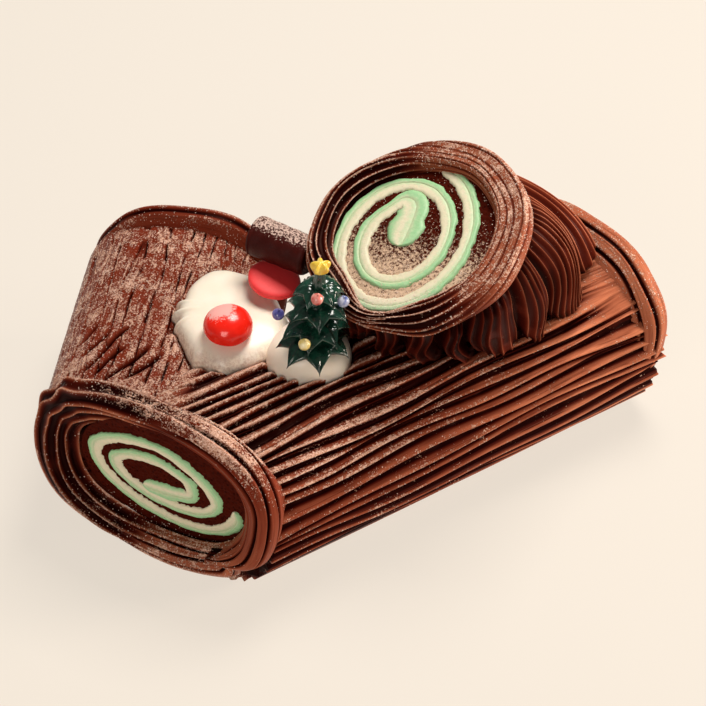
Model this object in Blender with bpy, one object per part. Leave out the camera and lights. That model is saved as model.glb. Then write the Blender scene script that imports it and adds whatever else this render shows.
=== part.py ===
"""Yule log cake.

A rolled sponge log with a side branch and a leaning cut stump on top, all combed with chocolate
buttercream, and dressed with white icing, candies, a chocolate roll and a small fir tree.

Frame: metres, +Z up. The origin is on the table under the main log, on the flat face it rests on.
The main log runs along X. Its show cut is slanted and faces -X and -Y. The branch leaves it
towards +X and +Y, and the stump stands on the log's top.
"""
from math import ceil, copysign, cos, pi, radians, sin, tau

import bmesh
import bpy
from mathutils import Matrix, Vector

MM = 0.001
GAP = 0.3 * MM                 # clearance between pieces that touch

# ---- main log and branch: the rounded section with a flat foot ----
LOG_FRONT_HALF_WIDTH = 44 * MM
LOG_BACK_HALF_WIDTH = 41.5 * MM
LOG_FRONT_HEIGHT = 71 * MM
LOG_BACK_HEIGHT = 74.5 * MM
LOG_BACK_X = 91 * MM           # where the axis leaves the far end
LOG_BACK_SLANT = -0.2          # x gained for each y along the far cut
SHOW_CUT_X = -106 * MM         # where the axis meets the end of the coat at the show cut
SHOW_CUT_SLANT = -0.57         # x gained for each y along the show cut

BRANCH_HEADING = radians(49.5)
BRANCH_APEX_X = -132 * MM      # where the branch's axis would cross the log's axis
BRANCH_LENGTH = 130 * MM       # from that crossing to the branch's far cut
BRANCH_FRONT_HALF_WIDTH = 37 * MM
BRANCH_BACK_HALF_WIDTH = 41 * MM
BRANCH_HEIGHT = 71 * MM

STROKE_WIDTH = 6.4 * MM        # one comb stroke of buttercream
STROKE_DEPTH = 2.2 * MM
STROKE_STEPS = 3               # outline points to a stroke

# ---- the rolls inside: sponge, cream and mint wound together ----
ROLL_HALF_WIDTH = 34 * MM
ROLL_HALF_HEIGHT = 28 * MM
ROLL_CENTRE_Z = 39.3 * MM
ROLL_TURNS = 3.0
TURN_SIDES = 12                # points to one turn of a band
CREAM_SHARE = (-0.20, 0.07)    # where the cream lies, as a share of one turn's pitch
MINT_SHARE = (0.07, 0.30)
BAND_START = 0.30              # turns from the centre to the start of the bands
ROLL_SHOW_PROUD = 2 * MM       # the swirl stands this far out of the coat, inside its collar
ROLL_PITCH = 9.6 * MM          # across; the height follows the roll's proportions

# ---- stump ----
STUMP_FACE = Vector((7.0, 2.2, 110.2)) * MM
STUMP_TILT = radians(21)       # of its face, towards -X
STUMP_NECK_RADIUS = 38 * MM
STUMP_FOOT = Vector((47.5, 2, 55)) * MM
STUMP_FOOT_RADII = (57.5 * MM, 34 * MM)
STUMP_STROKES = 24
BUNDLE_STROKES = 3
STUMP_GROOVE = 2.0 * MM        # between two strokes
STUMP_FOLD = 4.5 * MM          # between two bundles
STUMP_ROLL_RADII = (31 * MM, 29 * MM)
STUMP_ROLL_FOOT_X = 26 * MM
STUMP_ROLL_FOOT_Z = 77 * MM    # it stands on the log's crest
STUMP_PITCH = 9.4 * MM

# ---- piped collars round the cuts ----
COLLAR_RIDGES = 5
COLLAR_STATIONS = 26
COLLAR_RIDGE_DEPTH = 1.4 * MM

# ---- toppings ----
CANDY_CENTRE = Vector((-64.0, 25.5, 77.2)) * MM
CANDY_RADIUS = 9.7 * MM
CANDY_HEIGHT = 10.5 * MM
CANDY_BELLY = 2.5 * MM         # height of its widest place
DISC_CENTRE = Vector((-35.8, 38.8, 77.6)) * MM
DISC_RADIUS = 10.6 * MM
DISC_THICKNESS = 5.0 * MM
CHOCOLATE_ROLL_CENTRE = Vector((-28.3, 43.7, 91.3)) * MM
CHOCOLATE_ROLL_LENGTH = 25.5 * MM
CHOCOLATE_ROLL_RADIUS = 8.1 * MM
TREE_FOOT = Vector((-43.4, -4.4, 82.0)) * MM
TREE_HEIGHT = 42 * MM
TREE_RADIUS = 15 * MM
BAUBLE_RADIUS = 2.3 * MM
PUDDLE_CENTRE = Vector((-57.5, 38.0, 0.0)) * MM
PUDDLE_RADIUS = 24.5 * MM
PUDDLE_TOP = 76.8 * MM
PUDDLE_HEADING = radians(80)   # the way the poured icing is longest
TREE_ICING_CENTRE = Vector((-41.3, 2.6, 0.0)) * MM
TREE_ICING_RADIUS = 17.2 * MM
TREE_ICING_TOP = 81.6 * MM


# ------------------------------------------------------------------ scene and materials
def clear_scene():
    for ob in list(bpy.data.objects):
        bpy.data.objects.remove(ob, do_unlink=True)


def new_collection(name):
    collection = bpy.data.collections.new(name)
    bpy.context.scene.collection.children.link(collection)
    return collection


def material(name, colour, roughness, metallic=0.0):
    found = bpy.data.materials.get(name)
    if found:
        return found
    mat = bpy.data.materials.new(name)
    mat.use_nodes = True
    shader = mat.node_tree.nodes["Principled BSDF"]
    shader.inputs["Base Color"].default_value = (*colour, 1)
    shader.inputs["Roughness"].default_value = roughness
    shader.inputs["Metallic"].default_value = metallic
    return mat


BUTTERCREAM = ("chocolate_buttercream", (0.13, 0.045, 0.024), 0.45)
SPONGE = ("chocolate_sponge", (0.12, 0.04, 0.02), 0.9)
CREAM = ("white_cream", (0.85, 0.82, 0.68), 0.5)
MINT = ("mint_cream", (0.42, 0.75, 0.48), 0.5)
ICING = ("white_icing", (0.9, 0.87, 0.78), 0.4)
RED_CANDY = ("red_candy", (0.75, 0.04, 0.03), 0.2)
RED_SUGAR = ("red_sugar_paste", (0.62, 0.03, 0.03), 0.55)
DARK_CHOCOLATE = ("dark_chocolate", (0.05, 0.015, 0.012), 0.4)
FIR_GREEN = ("fir_green_plastic", (0.01, 0.06, 0.035), 0.25)
YELLOW = ("yellow_plastic", (0.85, 0.6, 0.08), 0.3)
BAUBLES = {
    "red": ("red_bauble", (0.7, 0.12, 0.08), 0.3),
    "blue": ("blue_bauble", (0.12, 0.14, 0.4), 0.3),
    "silver": ("silver_bauble", (0.55, 0.6, 0.75), 0.3),
    "gold": ("gold_bauble", (0.85, 0.65, 0.25), 0.3),
}


def add_object(name, bm, look, collection, cutter=False):
    bmesh.ops.recalc_face_normals(bm, faces=bm.faces)
    if bm.calc_volume(signed=True) < 0:
        bmesh.ops.reverse_faces(bm, faces=bm.faces)
    mesh = bpy.data.meshes.new(name)
    bm.to_mesh(mesh)
    bm.free()
    ob = bpy.data.objects.new(name, mesh)
    collection.objects.link(ob)
    if cutter:
        ob.hide_render = True
        ob.display_type = "WIRE"
    else:
        mesh.materials.append(material(*look))
        mesh.shade_smooth()
        mesh.set_sharp_from_angle(angle=radians(35))
    return ob


def cut(ob, *cutters):
    """Take the cutters out of the object, each with its own exact Boolean."""
    for cutter in cutters:
        modifier = ob.modifiers.new("cut_" + cutter.name, "BOOLEAN")
        modifier.operation = "DIFFERENCE"
        modifier.solver = "EXACT"
        modifier.object = cutter


# ------------------------------------------------------------------ shape helpers
def loft(rings, closed=False):
    """A body through rings of equally many points, capped at both ends or closed on itself."""
    bm = bmesh.new()
    rows = [[bm.verts.new(point) for point in ring] for ring in rings]
    count = len(rows[0])
    pairs = list(zip(rows, rows[1:]))
    if closed:
        pairs.append((rows[-1], rows[0]))
    for row, following in pairs:
        for i in range(count):
            j = (i + 1) % count
            bm.faces.new((row[i], row[j], following[j], following[i]))
    if not closed:
        bm.faces.new(rows[0][::-1])
        bm.faces.new(rows[-1])
    return bm


def superellipse(angle, half_width, half_height, power):
    c, s = cos(angle), sin(angle)
    return (copysign(abs(c) ** (2 / power), c) * half_width,
            copysign(abs(s) ** (2 / power), s) * half_height)


def prism(name, outline, low, high, collection):
    """A cutter: a flat outline in XY, run from one height to another."""
    rings = [[(x, y, z) for x, y in outline] for z in (low, high)]
    return add_object(name, loft(rings), None, collection, cutter=True)


# ------------------------------------------------------------------ log section
ENVELOPE_OVERRUN = 40 * MM     # past the far cut, under what leans over it
FOOT_FALL = 1.07               # the lower half aims this far below the table, so the foot is flat
SHOULDER_POWER = 2.3
FOOT_POWER = 3.0
MIDDLE_SHARE = 0.45            # the widest place, as a share of the height


def section_point(half_width, height, angle):
    """A point (across, up) of the log's smooth section."""
    middle = MIDDLE_SHARE * height
    if sin(angle) >= 0:
        across, up = superellipse(angle, half_width, height - middle, SHOULDER_POWER)
    else:
        across, up = superellipse(angle, half_width, middle * FOOT_FALL, FOOT_POWER)
    return across, max(middle + up, 0.0)


def section_path(half_width, height, grow=0.0, samples=180):
    """The section from its near foot corner over the top to its far foot corner."""
    foot_angle = radians(65)
    path = []
    for i in range(samples + 1):
        angle = pi + foot_angle - (pi + 2 * foot_angle) * i / samples
        across, up = section_point(half_width + grow, height + grow, angle)
        path.append(Vector((across, up)))
    return path


def combed_section(half_width, height, strokes, phase):
    """The section with its comb strokes: crests on the smooth line, grooves inside it."""
    path = section_path(half_width, height)
    lengths = [0.0]
    for before, after in zip(path, path[1:]):
        lengths.append(lengths[-1] + (after - before).length)
    count = strokes * STROKE_STEPS
    points = []
    k = 0
    for i in range(count + 1):
        inner = 0 < i < count
        waver = 0.25 * sin(phase + 0.9 * i) / count if inner else 0.0
        target = (i / count + waver) * lengths[-1]
        while k < len(path) - 2 and lengths[k + 1] < target:
            k += 1
        share = (target - lengths[k]) / (lengths[k + 1] - lengths[k])
        here = path[k].lerp(path[k + 1], share)
        along = (path[k + 1] - path[k]).normalized()
        inward = Vector((along.y, -along.x))
        depth = STROKE_DEPTH if i % STROKE_STEPS == 0 else 0.0
        if not inner:
            depth = 0.0
        place = here + inward * depth
        points.append((place.x, max(place.y, 0.0)))
    return points


class Arm:
    """A straight stretch of log: where it starts, where it heads, and how it tapers."""

    def __init__(self, start, heading, length, widths, heights, end_slant):
        self.start = Vector((*start, 0.0))
        self.along = Vector((cos(heading), sin(heading), 0.0))
        self.across = Vector((-sin(heading), cos(heading), 0.0))
        self.length = length
        self.widths = widths
        self.heights = heights
        self.end_slant = end_slant

    def size(self, share):
        return (self.widths[0] + (self.widths[1] - self.widths[0]) * share,
                self.heights[0] + (self.heights[1] - self.heights[0]) * share)

    def place(self, distance, across, up):
        return self.start + self.along * distance + self.across * across + Vector((0, 0, up))

    def ring(self, share, points):
        return [self.place((self.length + self.end_slant * across) * share, across, up)
                for across, up in points]

    def coat(self, stations):
        """The combed coat as one solid, before its cuts."""
        half_width, height = self.size(0.5)
        girth = section_path(half_width, height)
        total = sum((b - a).length for a, b in zip(girth, girth[1:]))
        strokes = round(total / STROKE_WIDTH)
        rings = [self.ring(i / stations, combed_section(*self.size(i / stations), strokes, 1.7 * i))
                 for i in range(stations + 1)]
        return loft(rings)

    def envelope(self):
        """The smooth outer limit of the coat, used to seat what rests on it."""
        path_step = 6
        rings = []
        for share in (0.0, 1.0 + ENVELOPE_OVERRUN / self.length):
            path = section_path(*self.size(share), grow=GAP)[::path_step]
            points = [(p.x, p.y if 0 < i < len(path) - 1 else -10 * MM)
                      for i, p in enumerate(path)]
            rings.append(self.ring(share, points))
        return loft(rings)


LOG_START_X = -190 * MM
LOG = Arm((LOG_START_X, 0.0), 0.0, LOG_BACK_X - LOG_START_X,
          (LOG_FRONT_HALF_WIDTH, LOG_BACK_HALF_WIDTH), (LOG_FRONT_HEIGHT, LOG_BACK_HEIGHT),
          LOG_BACK_SLANT)
BRANCH = Arm((BRANCH_APEX_X, 0.0), BRANCH_HEADING, BRANCH_LENGTH,
             (BRANCH_FRONT_HALF_WIDTH, BRANCH_BACK_HALF_WIDTH), (BRANCH_HEIGHT, BRANCH_HEIGHT), 0.0)


# ------------------------------------------------------------------ cutting outlines
FAR = 400 * MM
MITRE_HEADING = BRANCH_HEADING / 2


def mitre_point(distance, side=0.0):
    """A point on the vertical plane where log and branch meet, moved sideways by side."""
    along = Vector((cos(MITRE_HEADING), sin(MITRE_HEADING)))
    across = Vector((-along.y, along.x))
    return Vector((BRANCH_APEX_X, 0.0)) + along * distance + across * side


def show_cut_x(y, forward=0.0):
    return SHOW_CUT_X + forward + SHOW_CUT_SLANT * y


def front_corner(side):
    """Where the mitre meets the show cut."""
    origin = mitre_point(0.0, side)
    ahead = mitre_point(1.0, side)
    step = ahead - origin
    distance = (show_cut_x(origin.y) - origin.x) / (step.x - SHOW_CUT_SLANT * step.y)
    return origin + step * distance


def off_log_outline():
    """Everything in front of the show cut or on the branch's side of the mitre."""
    side = -GAP / 2
    return [(show_cut_x(-FAR), -FAR), tuple(front_corner(side)), tuple(mitre_point(2 * FAR, side)),
            (-2 * FAR, 2 * FAR), (-2 * FAR, -FAR)]


def off_branch_outline():
    """Everything in front of the show cut or on the log's side of the mitre."""
    side = GAP / 2
    return [(show_cut_x(FAR), FAR), tuple(front_corner(side)), tuple(mitre_point(2 * FAR, side)),
            (2 * FAR, -FAR), (-2 * FAR, -FAR), (-2 * FAR, FAR)]


# ------------------------------------------------------------------ rolls
class Roll:
    """A wound roll: its bands are drawn on a plane (u, v) and run between two end cuts."""

    def __init__(self, prefix, radii, pitch, turn_sign, phase, centre, place):
        self.prefix = prefix
        self.radii = radii
        self.pitch = (pitch, pitch * radii[1] / radii[0])
        self.turn_sign = turn_sign
        self.phase = phase
        self.centre = centre
        self.place = place            # place(end, u, v) gives the point on end cut 0 or 1

    def band(self, share, margin):
        """The outline of one wound band, between two shares of the pitch."""
        steps = ceil((ROLL_TURNS - BAND_START) * TURN_SIDES)
        outer, inner = [], []
        for i in range(steps + 1):
            turns = BAND_START + (ROLL_TURNS - BAND_START) * i / steps
            angle = self.turn_sign * turns * tau + self.phase
            for side, edge, sign in ((inner, share[0], 1), (outer, share[1], -1)):
                radius = turns + edge + sign * margin / self.pitch[0]
                side.append((self.centre[0] + cos(angle) * radius * self.pitch[0],
                             self.centre[1] + sin(angle) * radius * self.pitch[1]))
        return outer + inner[::-1]

    def rim(self, grow=0.0, sides=30):
        return [superellipse(tau * i / sides, self.radii[0] + grow, self.radii[1] + grow, 2.1)
                for i in range(sides)]

    def body(self, outline, stretch=0.0):
        return loft([[self.place(end, u, v, stretch) for u, v in outline] for end in (0, 1)])

    def build(self, parts, cutters):
        """Sponge, cream and mint. Returns the cutter that frees their space."""
        space = add_object(self.prefix + "_cavity", self.body(self.rim(GAP), 60 * MM), None,
                           cutters, cutter=True)
        light = (CREAM_SHARE[0], MINT_SHARE[1])
        groove = add_object(self.prefix + "_groove", self.body(self.band(light, -GAP), 10 * MM),
                            None, cutters, cutter=True)
        sponge = add_object(self.prefix + "_sponge", self.body(self.rim()), SPONGE, parts)
        cut(sponge, groove)
        for share, look, name in ((CREAM_SHARE, CREAM, "_cream"), (MINT_SHARE, MINT, "_mint")):
            add_object(self.prefix + name, self.body(self.band(share, GAP / 2)), look, parts)
        return space


def place_in_log(end, u, v, stretch=0.0):
    """u across, v up. End 0 is the slanted show cut, end 1 the far cut."""
    back_recess = 4 * MM
    if end == 0:
        x = show_cut_x(u, -ROLL_SHOW_PROUD) - stretch
    else:
        x = LOG_BACK_X - back_recess + LOG_BACK_SLANT * u + stretch
    return Vector((x, u, ROLL_CENTRE_Z + v))


BRANCH_ROLL_START = 64 * MM     # from the apex, on the branch's axis: clear of the log's roll
BRANCH_ROLL_SLANT = -0.45


def place_in_branch(end, u, v, stretch=0.0):
    """End 0 lies along the log's own roll, end 1 is the branch's far cut."""
    back_recess = 4 * MM
    if end == 0:
        distance = BRANCH_ROLL_START + BRANCH_ROLL_SLANT * u - (GAP if stretch else 0.0)
    else:
        distance = BRANCH.length - back_recess + stretch
    return BRANCH.place(distance, u, ROLL_CENTRE_Z - 1 * MM + v)


def stump_frame():
    """Centre, across, up and normal of the stump's face."""
    normal = Vector((-sin(STUMP_TILT), 0.0, cos(STUMP_TILT)))
    across = Vector((cos(STUMP_TILT), 0.0, sin(STUMP_TILT)))
    return STUMP_FACE, across, Vector((0.0, 1.0, 0.0)), normal


def place_in_stump(end, u, v, stretch=0.0):
    """End 0 is the stump's face, a little sunk in its collar, end 1 is on the log."""
    face, across, upward, normal = stump_frame()
    sunk = 1.0 * MM
    top = face + across * u + upward * v - normal * sunk
    foot = Vector((STUMP_ROLL_FOOT_X, STUMP_FACE.y, STUMP_ROLL_FOOT_Z))
    lean = (foot - face).normalized()
    if end == 0:
        return top - lean * stretch
    return top + lean * ((top.z - foot.z + (GAP if stretch else 0.0)) / -lean.z)


# ------------------------------------------------------------------ collars
def collar_profile(thickness, rise, lip):
    """Points (inward, forward) over the collar, from its outer base to its inner base."""
    points = []
    steps = 2 * COLLAR_RIDGES
    for i in range(steps + 1):
        angle = pi * i / steps
        swell = COLLAR_RIDGE_DEPTH if i % 2 else -0.4 * COLLAR_RIDGE_DEPTH
        inward = thickness / 2 * (1 - cos(angle)) - swell * cos(angle)
        forward = (rise + swell) * sin(angle) + lip * (1 - i / steps) * sin(angle)
        points.append((inward, forward))
    points[0] = (0.0, 0.0)
    points[-1] = (thickness, 0.0)
    return points


def collar(name, centre, across, upward, normal, radii, thickness, rise, lip, power, parts):
    """A ring of piped ridges laid on a plane round a cut."""
    profile = collar_profile(thickness, rise, lip)
    rings = []
    for i in range(COLLAR_STATIONS):
        angle = tau * i / COLLAR_STATIONS
        uneven = 1 + 0.012 * sin(3 * angle + 0.7) + 0.008 * sin(7 * angle)
        ring = []
        for inward, forward in profile:
            u, v = superellipse(angle, radii[0] - inward, radii[1] - inward, power)
            swell = uneven if inward < thickness * 0.6 else 1.0
            point = centre + across * u * swell + upward * v * swell + normal * forward
            point.z = max(point.z, 0.0)
            ring.append(point)
        rings.append(ring)
    return add_object(name, loft(rings, closed=True), BUTTERCREAM, parts)


def build_collars(parts):
    """The four collars: show cut, far cut, branch cut and stump face."""
    up = Vector((0, 0, 1))
    slanted = Vector((SHOW_CUT_SLANT, 1.0, 0.0)).normalized()
    stretch = Vector((SHOW_CUT_SLANT, 1.0, 0.0)).length
    front_radii = (47.5 * MM * stretch, 39.8 * MM)
    middle_y = 5 * MM
    centre = Vector((show_cut_x(middle_y, -GAP), middle_y, front_radii[1] + 0.6 * MM))
    collar("front_collar", centre, slanted, up, slanted.cross(up) * -1, front_radii,
           9 * MM, 10 * MM, 0.0, 2.4, parts)

    slanted = Vector((LOG_BACK_SLANT, 1.0, 0.0)).normalized()
    back_radii = (LOG_BACK_HALF_WIDTH - 1.0 * MM, 40.0 * MM)
    centre = Vector((LOG_BACK_X + GAP, 0.0, back_radii[1] + 0.6 * MM))
    collar("end_collar", centre, slanted, up, slanted.cross(up), back_radii,
           7.4 * MM, 6 * MM, 0.0, 2.35, parts)

    branch_radii = (BRANCH_BACK_HALF_WIDTH, 38.0 * MM)
    centre = BRANCH.place(BRANCH.length + GAP, -4.0 * MM, branch_radii[1] + 0.6 * MM)
    collar("branch_collar", centre, BRANCH.across, up, BRANCH.along, branch_radii,
           7.2 * MM, 7 * MM, 0.0, 2.35, parts)

    face, across, upward, normal = stump_frame()
    collar("stump_collar", face + normal * GAP, across, upward, normal, (43.2 * MM, 42.6 * MM),
           11.6 * MM, 7 * MM, 1.5 * MM, 2.05, parts)


# ------------------------------------------------------------------ stump coat
def stump_coat(parts):
    """Ruffled strokes that fall from the face's collar in bundles and spread over the log."""
    face, across, upward, _normal = stump_frame()
    count = STUMP_STROKES * STROKE_STEPS
    levels = 4
    rings = []
    for level in range(levels + 1):
        share = level / levels
        spread = share ** 0.7
        middle = face.lerp(STUMP_FOOT, share)
        ring = []
        for i in range(count):
            angle = tau * i / count
            depth = STUMP_GROOVE if i % STROKE_STEPS == 0 else 0.0
            if i % (STROKE_STEPS * BUNDLE_STROKES) == 0:
                depth = STUMP_FOLD
            depth *= sin(pi * min(0.25 + share, 0.75))
            neck = (across * cos(angle) + upward * sin(angle)) * STUMP_NECK_RADIUS
            foot = Vector((cos(angle) * STUMP_FOOT_RADII[0], sin(angle) * STUMP_FOOT_RADII[1], 0.0))
            reach = neck.lerp(foot, spread)
            reach.z = neck.z * (1 - share)
            ring.append(middle + reach - reach.normalized() * depth)
        rings.append(ring)
    return add_object("stump_frosting", loft(rings), BUTTERCREAM, parts)


# ------------------------------------------------------------------ toppings
def turned(centre, axis, profile, sides, uneven=None):
    """A solid turned round an axis: profile of (radius, height), poles added at both ends."""
    turn = Vector((0, 0, 1)).rotation_difference(axis.normalized()).to_matrix()
    bm = bmesh.new()
    rows = []
    for radius, height in profile:
        row = []
        for i in range(sides):
            angle = tau * i / sides
            reach = radius * (uneven(angle) if uneven else 1.0)
            point = Vector((cos(angle) * reach, sin(angle) * reach, height))
            row.append(bm.verts.new(centre + turn @ point))
        rows.append(row)
    for row, following in zip(rows, rows[1:]):
        for i in range(sides):
            j = (i + 1) % sides
            bm.faces.new((row[i], row[j], following[j], following[i]))
    bm.faces.new(rows[0][::-1])
    bm.faces.new(rows[-1])
    return bm


def dome_profile(radius, height, belly, steps=5):
    """A button: flat under, a rounded edge at the belly's height, and a domed top."""
    points = [(radius * 0.86, 0.0)]
    for i in range(steps):
        angle = pi / 2 * i / steps
        points.append((radius * cos(angle), belly + (height - belly) * sin(angle)))
    points.append((radius * 0.14, height))
    return points


def blob_profile(radius, low, high, steps=4):
    """A poured drop: a straight skirt below and a rounded top."""
    points = [(radius * 0.98, low)]
    crown = (high - low) * 0.45
    for i in range(steps):
        angle = pi / 2 * i / steps
        points.append((radius * cos(angle) ** 0.7, high - crown + crown * sin(angle)))
    points.append((radius * 0.2, high))
    return points


def build_icing(parts, cutters, seats):
    """The white icing that fills the fork, and the round base of the tree."""
    up = Vector((0, 0, 1))

    def puddle_edge(angle):
        longer = 0.13 * cos(2 * (angle - PUDDLE_HEADING))
        return 1 + longer + 0.05 * sin(3 * angle + 0.6) + 0.03 * sin(5 * angle)

    def tree_edge(angle):
        return 1 + 0.05 * cos(2 * angle) + 0.02 * sin(3 * angle + 0.6)

    base = turned(TREE_ICING_CENTRE, up, blob_profile(TREE_ICING_RADIUS, 60 * MM, TREE_ICING_TOP),
                  20, tree_edge)
    tree_icing = add_object("tree_icing", base, ICING, parts)
    cut(tree_icing, *seats)
    grown = turned(TREE_ICING_CENTRE, up,
                   blob_profile(TREE_ICING_RADIUS + GAP, 40 * MM, 160 * MM), 20, tree_edge)
    keep_off = add_object("tree_icing_space", grown, None, cutters, cutter=True)

    pool = turned(PUDDLE_CENTRE, up, blob_profile(PUDDLE_RADIUS, 50 * MM, PUDDLE_TOP),
                  20, puddle_edge)
    puddle = add_object("icing_puddle", pool, ICING, parts)
    cut(puddle, *seats, keep_off)


def build_candies(parts):
    """A glossy candy button and a sugar-paste disc, both on the icing."""
    lean = Vector((-0.02, -0.06, 1))
    profile = dome_profile(CANDY_RADIUS, CANDY_HEIGHT, CANDY_BELLY)
    add_object("red_candy", turned(CANDY_CENTRE, lean, profile, 16), RED_CANDY, parts)

    lean = Vector((-0.02, -0.03, 1))
    profile = dome_profile(DISC_RADIUS, DISC_THICKNESS, DISC_THICKNESS * 0.55, 3)
    add_object("red_disc", turned(DISC_CENTRE, lean, profile, 20), RED_SUGAR, parts)


def build_chocolate_roll(parts):
    """A short solid roll of chocolate that leans on the stump."""
    heading = Vector((0.47, -0.88, -0.03)).normalized()
    half = CHOCOLATE_ROLL_LENGTH / 2
    edge = 0.8 * MM
    profile = [(CHOCOLATE_ROLL_RADIUS - edge, -half), (CHOCOLATE_ROLL_RADIUS, -half + edge),
               (CHOCOLATE_ROLL_RADIUS, half - edge), (CHOCOLATE_ROLL_RADIUS - edge, half)]
    roll = turned(CHOCOLATE_ROLL_CENTRE, heading, profile, 18)
    add_object("chocolate_roll", roll, DARK_CHOCOLATE, parts)


def build_tree(parts):
    """A moulded fir: stacked star-shaped skirts on one stem, one solid."""
    tips = 9
    tiers = 4
    bm_profile = []
    for tier in range(tiers):
        share = tier / tiers
        low = TREE_HEIGHT * share * 0.95
        radius = TREE_RADIUS * (1 - 0.82 * share)
        bm_profile.append((radius, low, 1.0))
        bm_profile.append((radius * 0.45, low + TREE_HEIGHT * 0.2, 0.35))
    rings = []
    for level, (radius, height, spike) in enumerate(bm_profile):
        ring = []
        for i in range(2 * tips):
            angle = tau * (i + 0.5 * (level // 2)) / (2 * tips)
            reach = radius * (1 - (0.42 * spike if i % 2 else 0.0))
            drop = -1.6 * MM * spike * (0 if i % 2 else 1) if level else 0.0
            ring.append(TREE_FOOT + Vector((cos(angle) * reach, sin(angle) * reach, height + drop)))
        rings.append(ring)
    add_object("fir_tree", loft(rings), FIR_GREEN, parts)

    top = TREE_FOOT + Vector((0, 0, TREE_HEIGHT * 0.925))
    star = []
    points = 10
    for height, size in ((0.0, 0.3), (1.2 * MM, 1.0), (3.6 * MM, 1.0), (4.8 * MM, 0.3)):
        star.append([top + Vector((cos(tau * i / points) * size * (3.6 * MM if i % 2 else 2.2 * MM),
                                   sin(tau * i / points) * size * (3.6 * MM if i % 2 else 2.2 * MM), height))
                     for i in range(points)])
    add_object("tree_star", loft(star), YELLOW, parts)


def build_baubles(parts):
    """Small balls that sit on the tree's skirts, a little clear of them."""
    places = {"red": (250, 0.75), "blue": (156.5, 0.41), "silver": (323, 0.545), "gold": (226, 0.31)}
    for name, (heading, height) in places.items():
        angle = radians(heading)
        reach = TREE_RADIUS * (1 - 0.75 * height) + BAUBLE_RADIUS + 0.4 * MM
        rise = TREE_HEIGHT * height + 2.5 * MM
        centre = TREE_FOOT + Vector((cos(angle) * reach, sin(angle) * reach, rise))
        bm = bmesh.new()
        bmesh.ops.create_uvsphere(bm, u_segments=8, v_segments=5, radius=BAUBLE_RADIUS,
                                  matrix=Matrix.Translation(centre))
        add_object("bauble_" + name, bm, BAUBLES[name], parts)


# ------------------------------------------------------------------ assembly
def main():
    clear_scene()
    parts = new_collection("yule_log_cake")
    cutters = new_collection("cutters")

    off_log = prism("off_log", off_log_outline(), -20 * MM, 200 * MM, cutters)
    off_branch = prism("off_branch", off_branch_outline(), -20 * MM, 200 * MM, cutters)
    seats = [add_object("log_envelope", LOG.envelope(), None, cutters, cutter=True),
             add_object("branch_envelope", BRANCH.envelope(), None, cutters, cutter=True)]

    radii = (ROLL_HALF_WIDTH, ROLL_HALF_HEIGHT)
    log_roll = Roll("log", radii, ROLL_PITCH, -1, 0.0, (-1.5 * MM, 0.0), place_in_log)
    branch_roll = Roll("branch", radii, ROLL_PITCH, 1, 1.0, (1.5 * MM, 0.0), place_in_branch)
    stump_roll = Roll("stump", STUMP_ROLL_RADII, STUMP_PITCH, 1, 1.2, (0.0, 0.0), place_in_stump)
    log_space = log_roll.build(parts, cutters)
    branch_space = branch_roll.build(parts, cutters)
    stump_space = stump_roll.build(parts, cutters)

    log_coat = add_object("log_frosting", LOG.coat(4), BUTTERCREAM, parts)
    cut(log_coat, off_log, log_space)
    branch_coat = add_object("branch_frosting", BRANCH.coat(3), BUTTERCREAM, parts)
    cut(branch_coat, off_branch, log_space, branch_space)
    stump = stump_coat(parts)
    cut(stump, stump_space, seats[0])

    build_collars(parts)
    build_icing(parts, cutters, seats)
    build_candies(parts)
    build_chocolate_roll(parts)
    build_tree(parts)
    build_baubles(parts)


main()
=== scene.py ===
"""Yule log cake: looks.

Works in millimetres; build() turns them into metres. Frame: +Z up, the main log along X, its
show cut facing -X and -Y, the branch towards +X and +Y, the leaning stump on top.
"""
from math import radians

import bpy
import numpy as np
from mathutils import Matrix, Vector, noise


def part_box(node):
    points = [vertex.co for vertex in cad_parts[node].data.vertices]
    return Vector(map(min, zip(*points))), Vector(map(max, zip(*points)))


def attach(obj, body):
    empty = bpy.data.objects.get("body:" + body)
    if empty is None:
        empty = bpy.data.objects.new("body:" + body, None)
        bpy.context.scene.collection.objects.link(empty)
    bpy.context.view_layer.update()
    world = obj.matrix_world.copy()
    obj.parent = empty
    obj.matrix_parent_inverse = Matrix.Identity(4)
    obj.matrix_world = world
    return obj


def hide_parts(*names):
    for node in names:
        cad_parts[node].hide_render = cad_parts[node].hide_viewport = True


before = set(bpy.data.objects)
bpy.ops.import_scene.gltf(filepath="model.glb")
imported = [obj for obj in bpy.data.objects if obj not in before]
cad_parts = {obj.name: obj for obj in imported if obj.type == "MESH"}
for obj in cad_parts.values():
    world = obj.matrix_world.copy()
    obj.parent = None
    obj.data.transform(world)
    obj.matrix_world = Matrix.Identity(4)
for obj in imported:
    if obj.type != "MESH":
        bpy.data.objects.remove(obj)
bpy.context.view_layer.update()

MM = 0.001
TAU = 2 * np.pi

# ---- shared form, as the solids have it ----
LOG_WIDTHS, LOG_HEIGHTS = (44.0, 41.5), (71.0, 74.5)
LOG_START, LOG_END, LOG_END_SLANT = -190.0, 91.0, -0.2
SHOW_X, SHOW_SLANT = -103.0, -0.57
APEX_X, BRANCH_HEADING, BRANCH_LENGTH = -132.0, radians(49.5), 130.0
BRANCH_WIDTHS, BRANCH_HEIGHTS = (37.0, 41.0), (71.0, 71.0)
MITRE = np.tan(BRANCH_HEADING / 2)
ROLL_Z = 39.3
FACE = np.array([7.0, 2.2, 110.2])
TILT = radians(21)
FACE_ACROSS = np.array([np.cos(TILT), 0.0, np.sin(TILT)])
FACE_UP = np.array([0.0, 1.0, 0.0])
FACE_NORMAL = np.array([-np.sin(TILT), 0.0, np.cos(TILT)])
STUMP_FOOT = np.array([47.5, 2.0, 55.0])
Z_UP = np.array([0.0, 0.0, 1.0])
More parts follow.
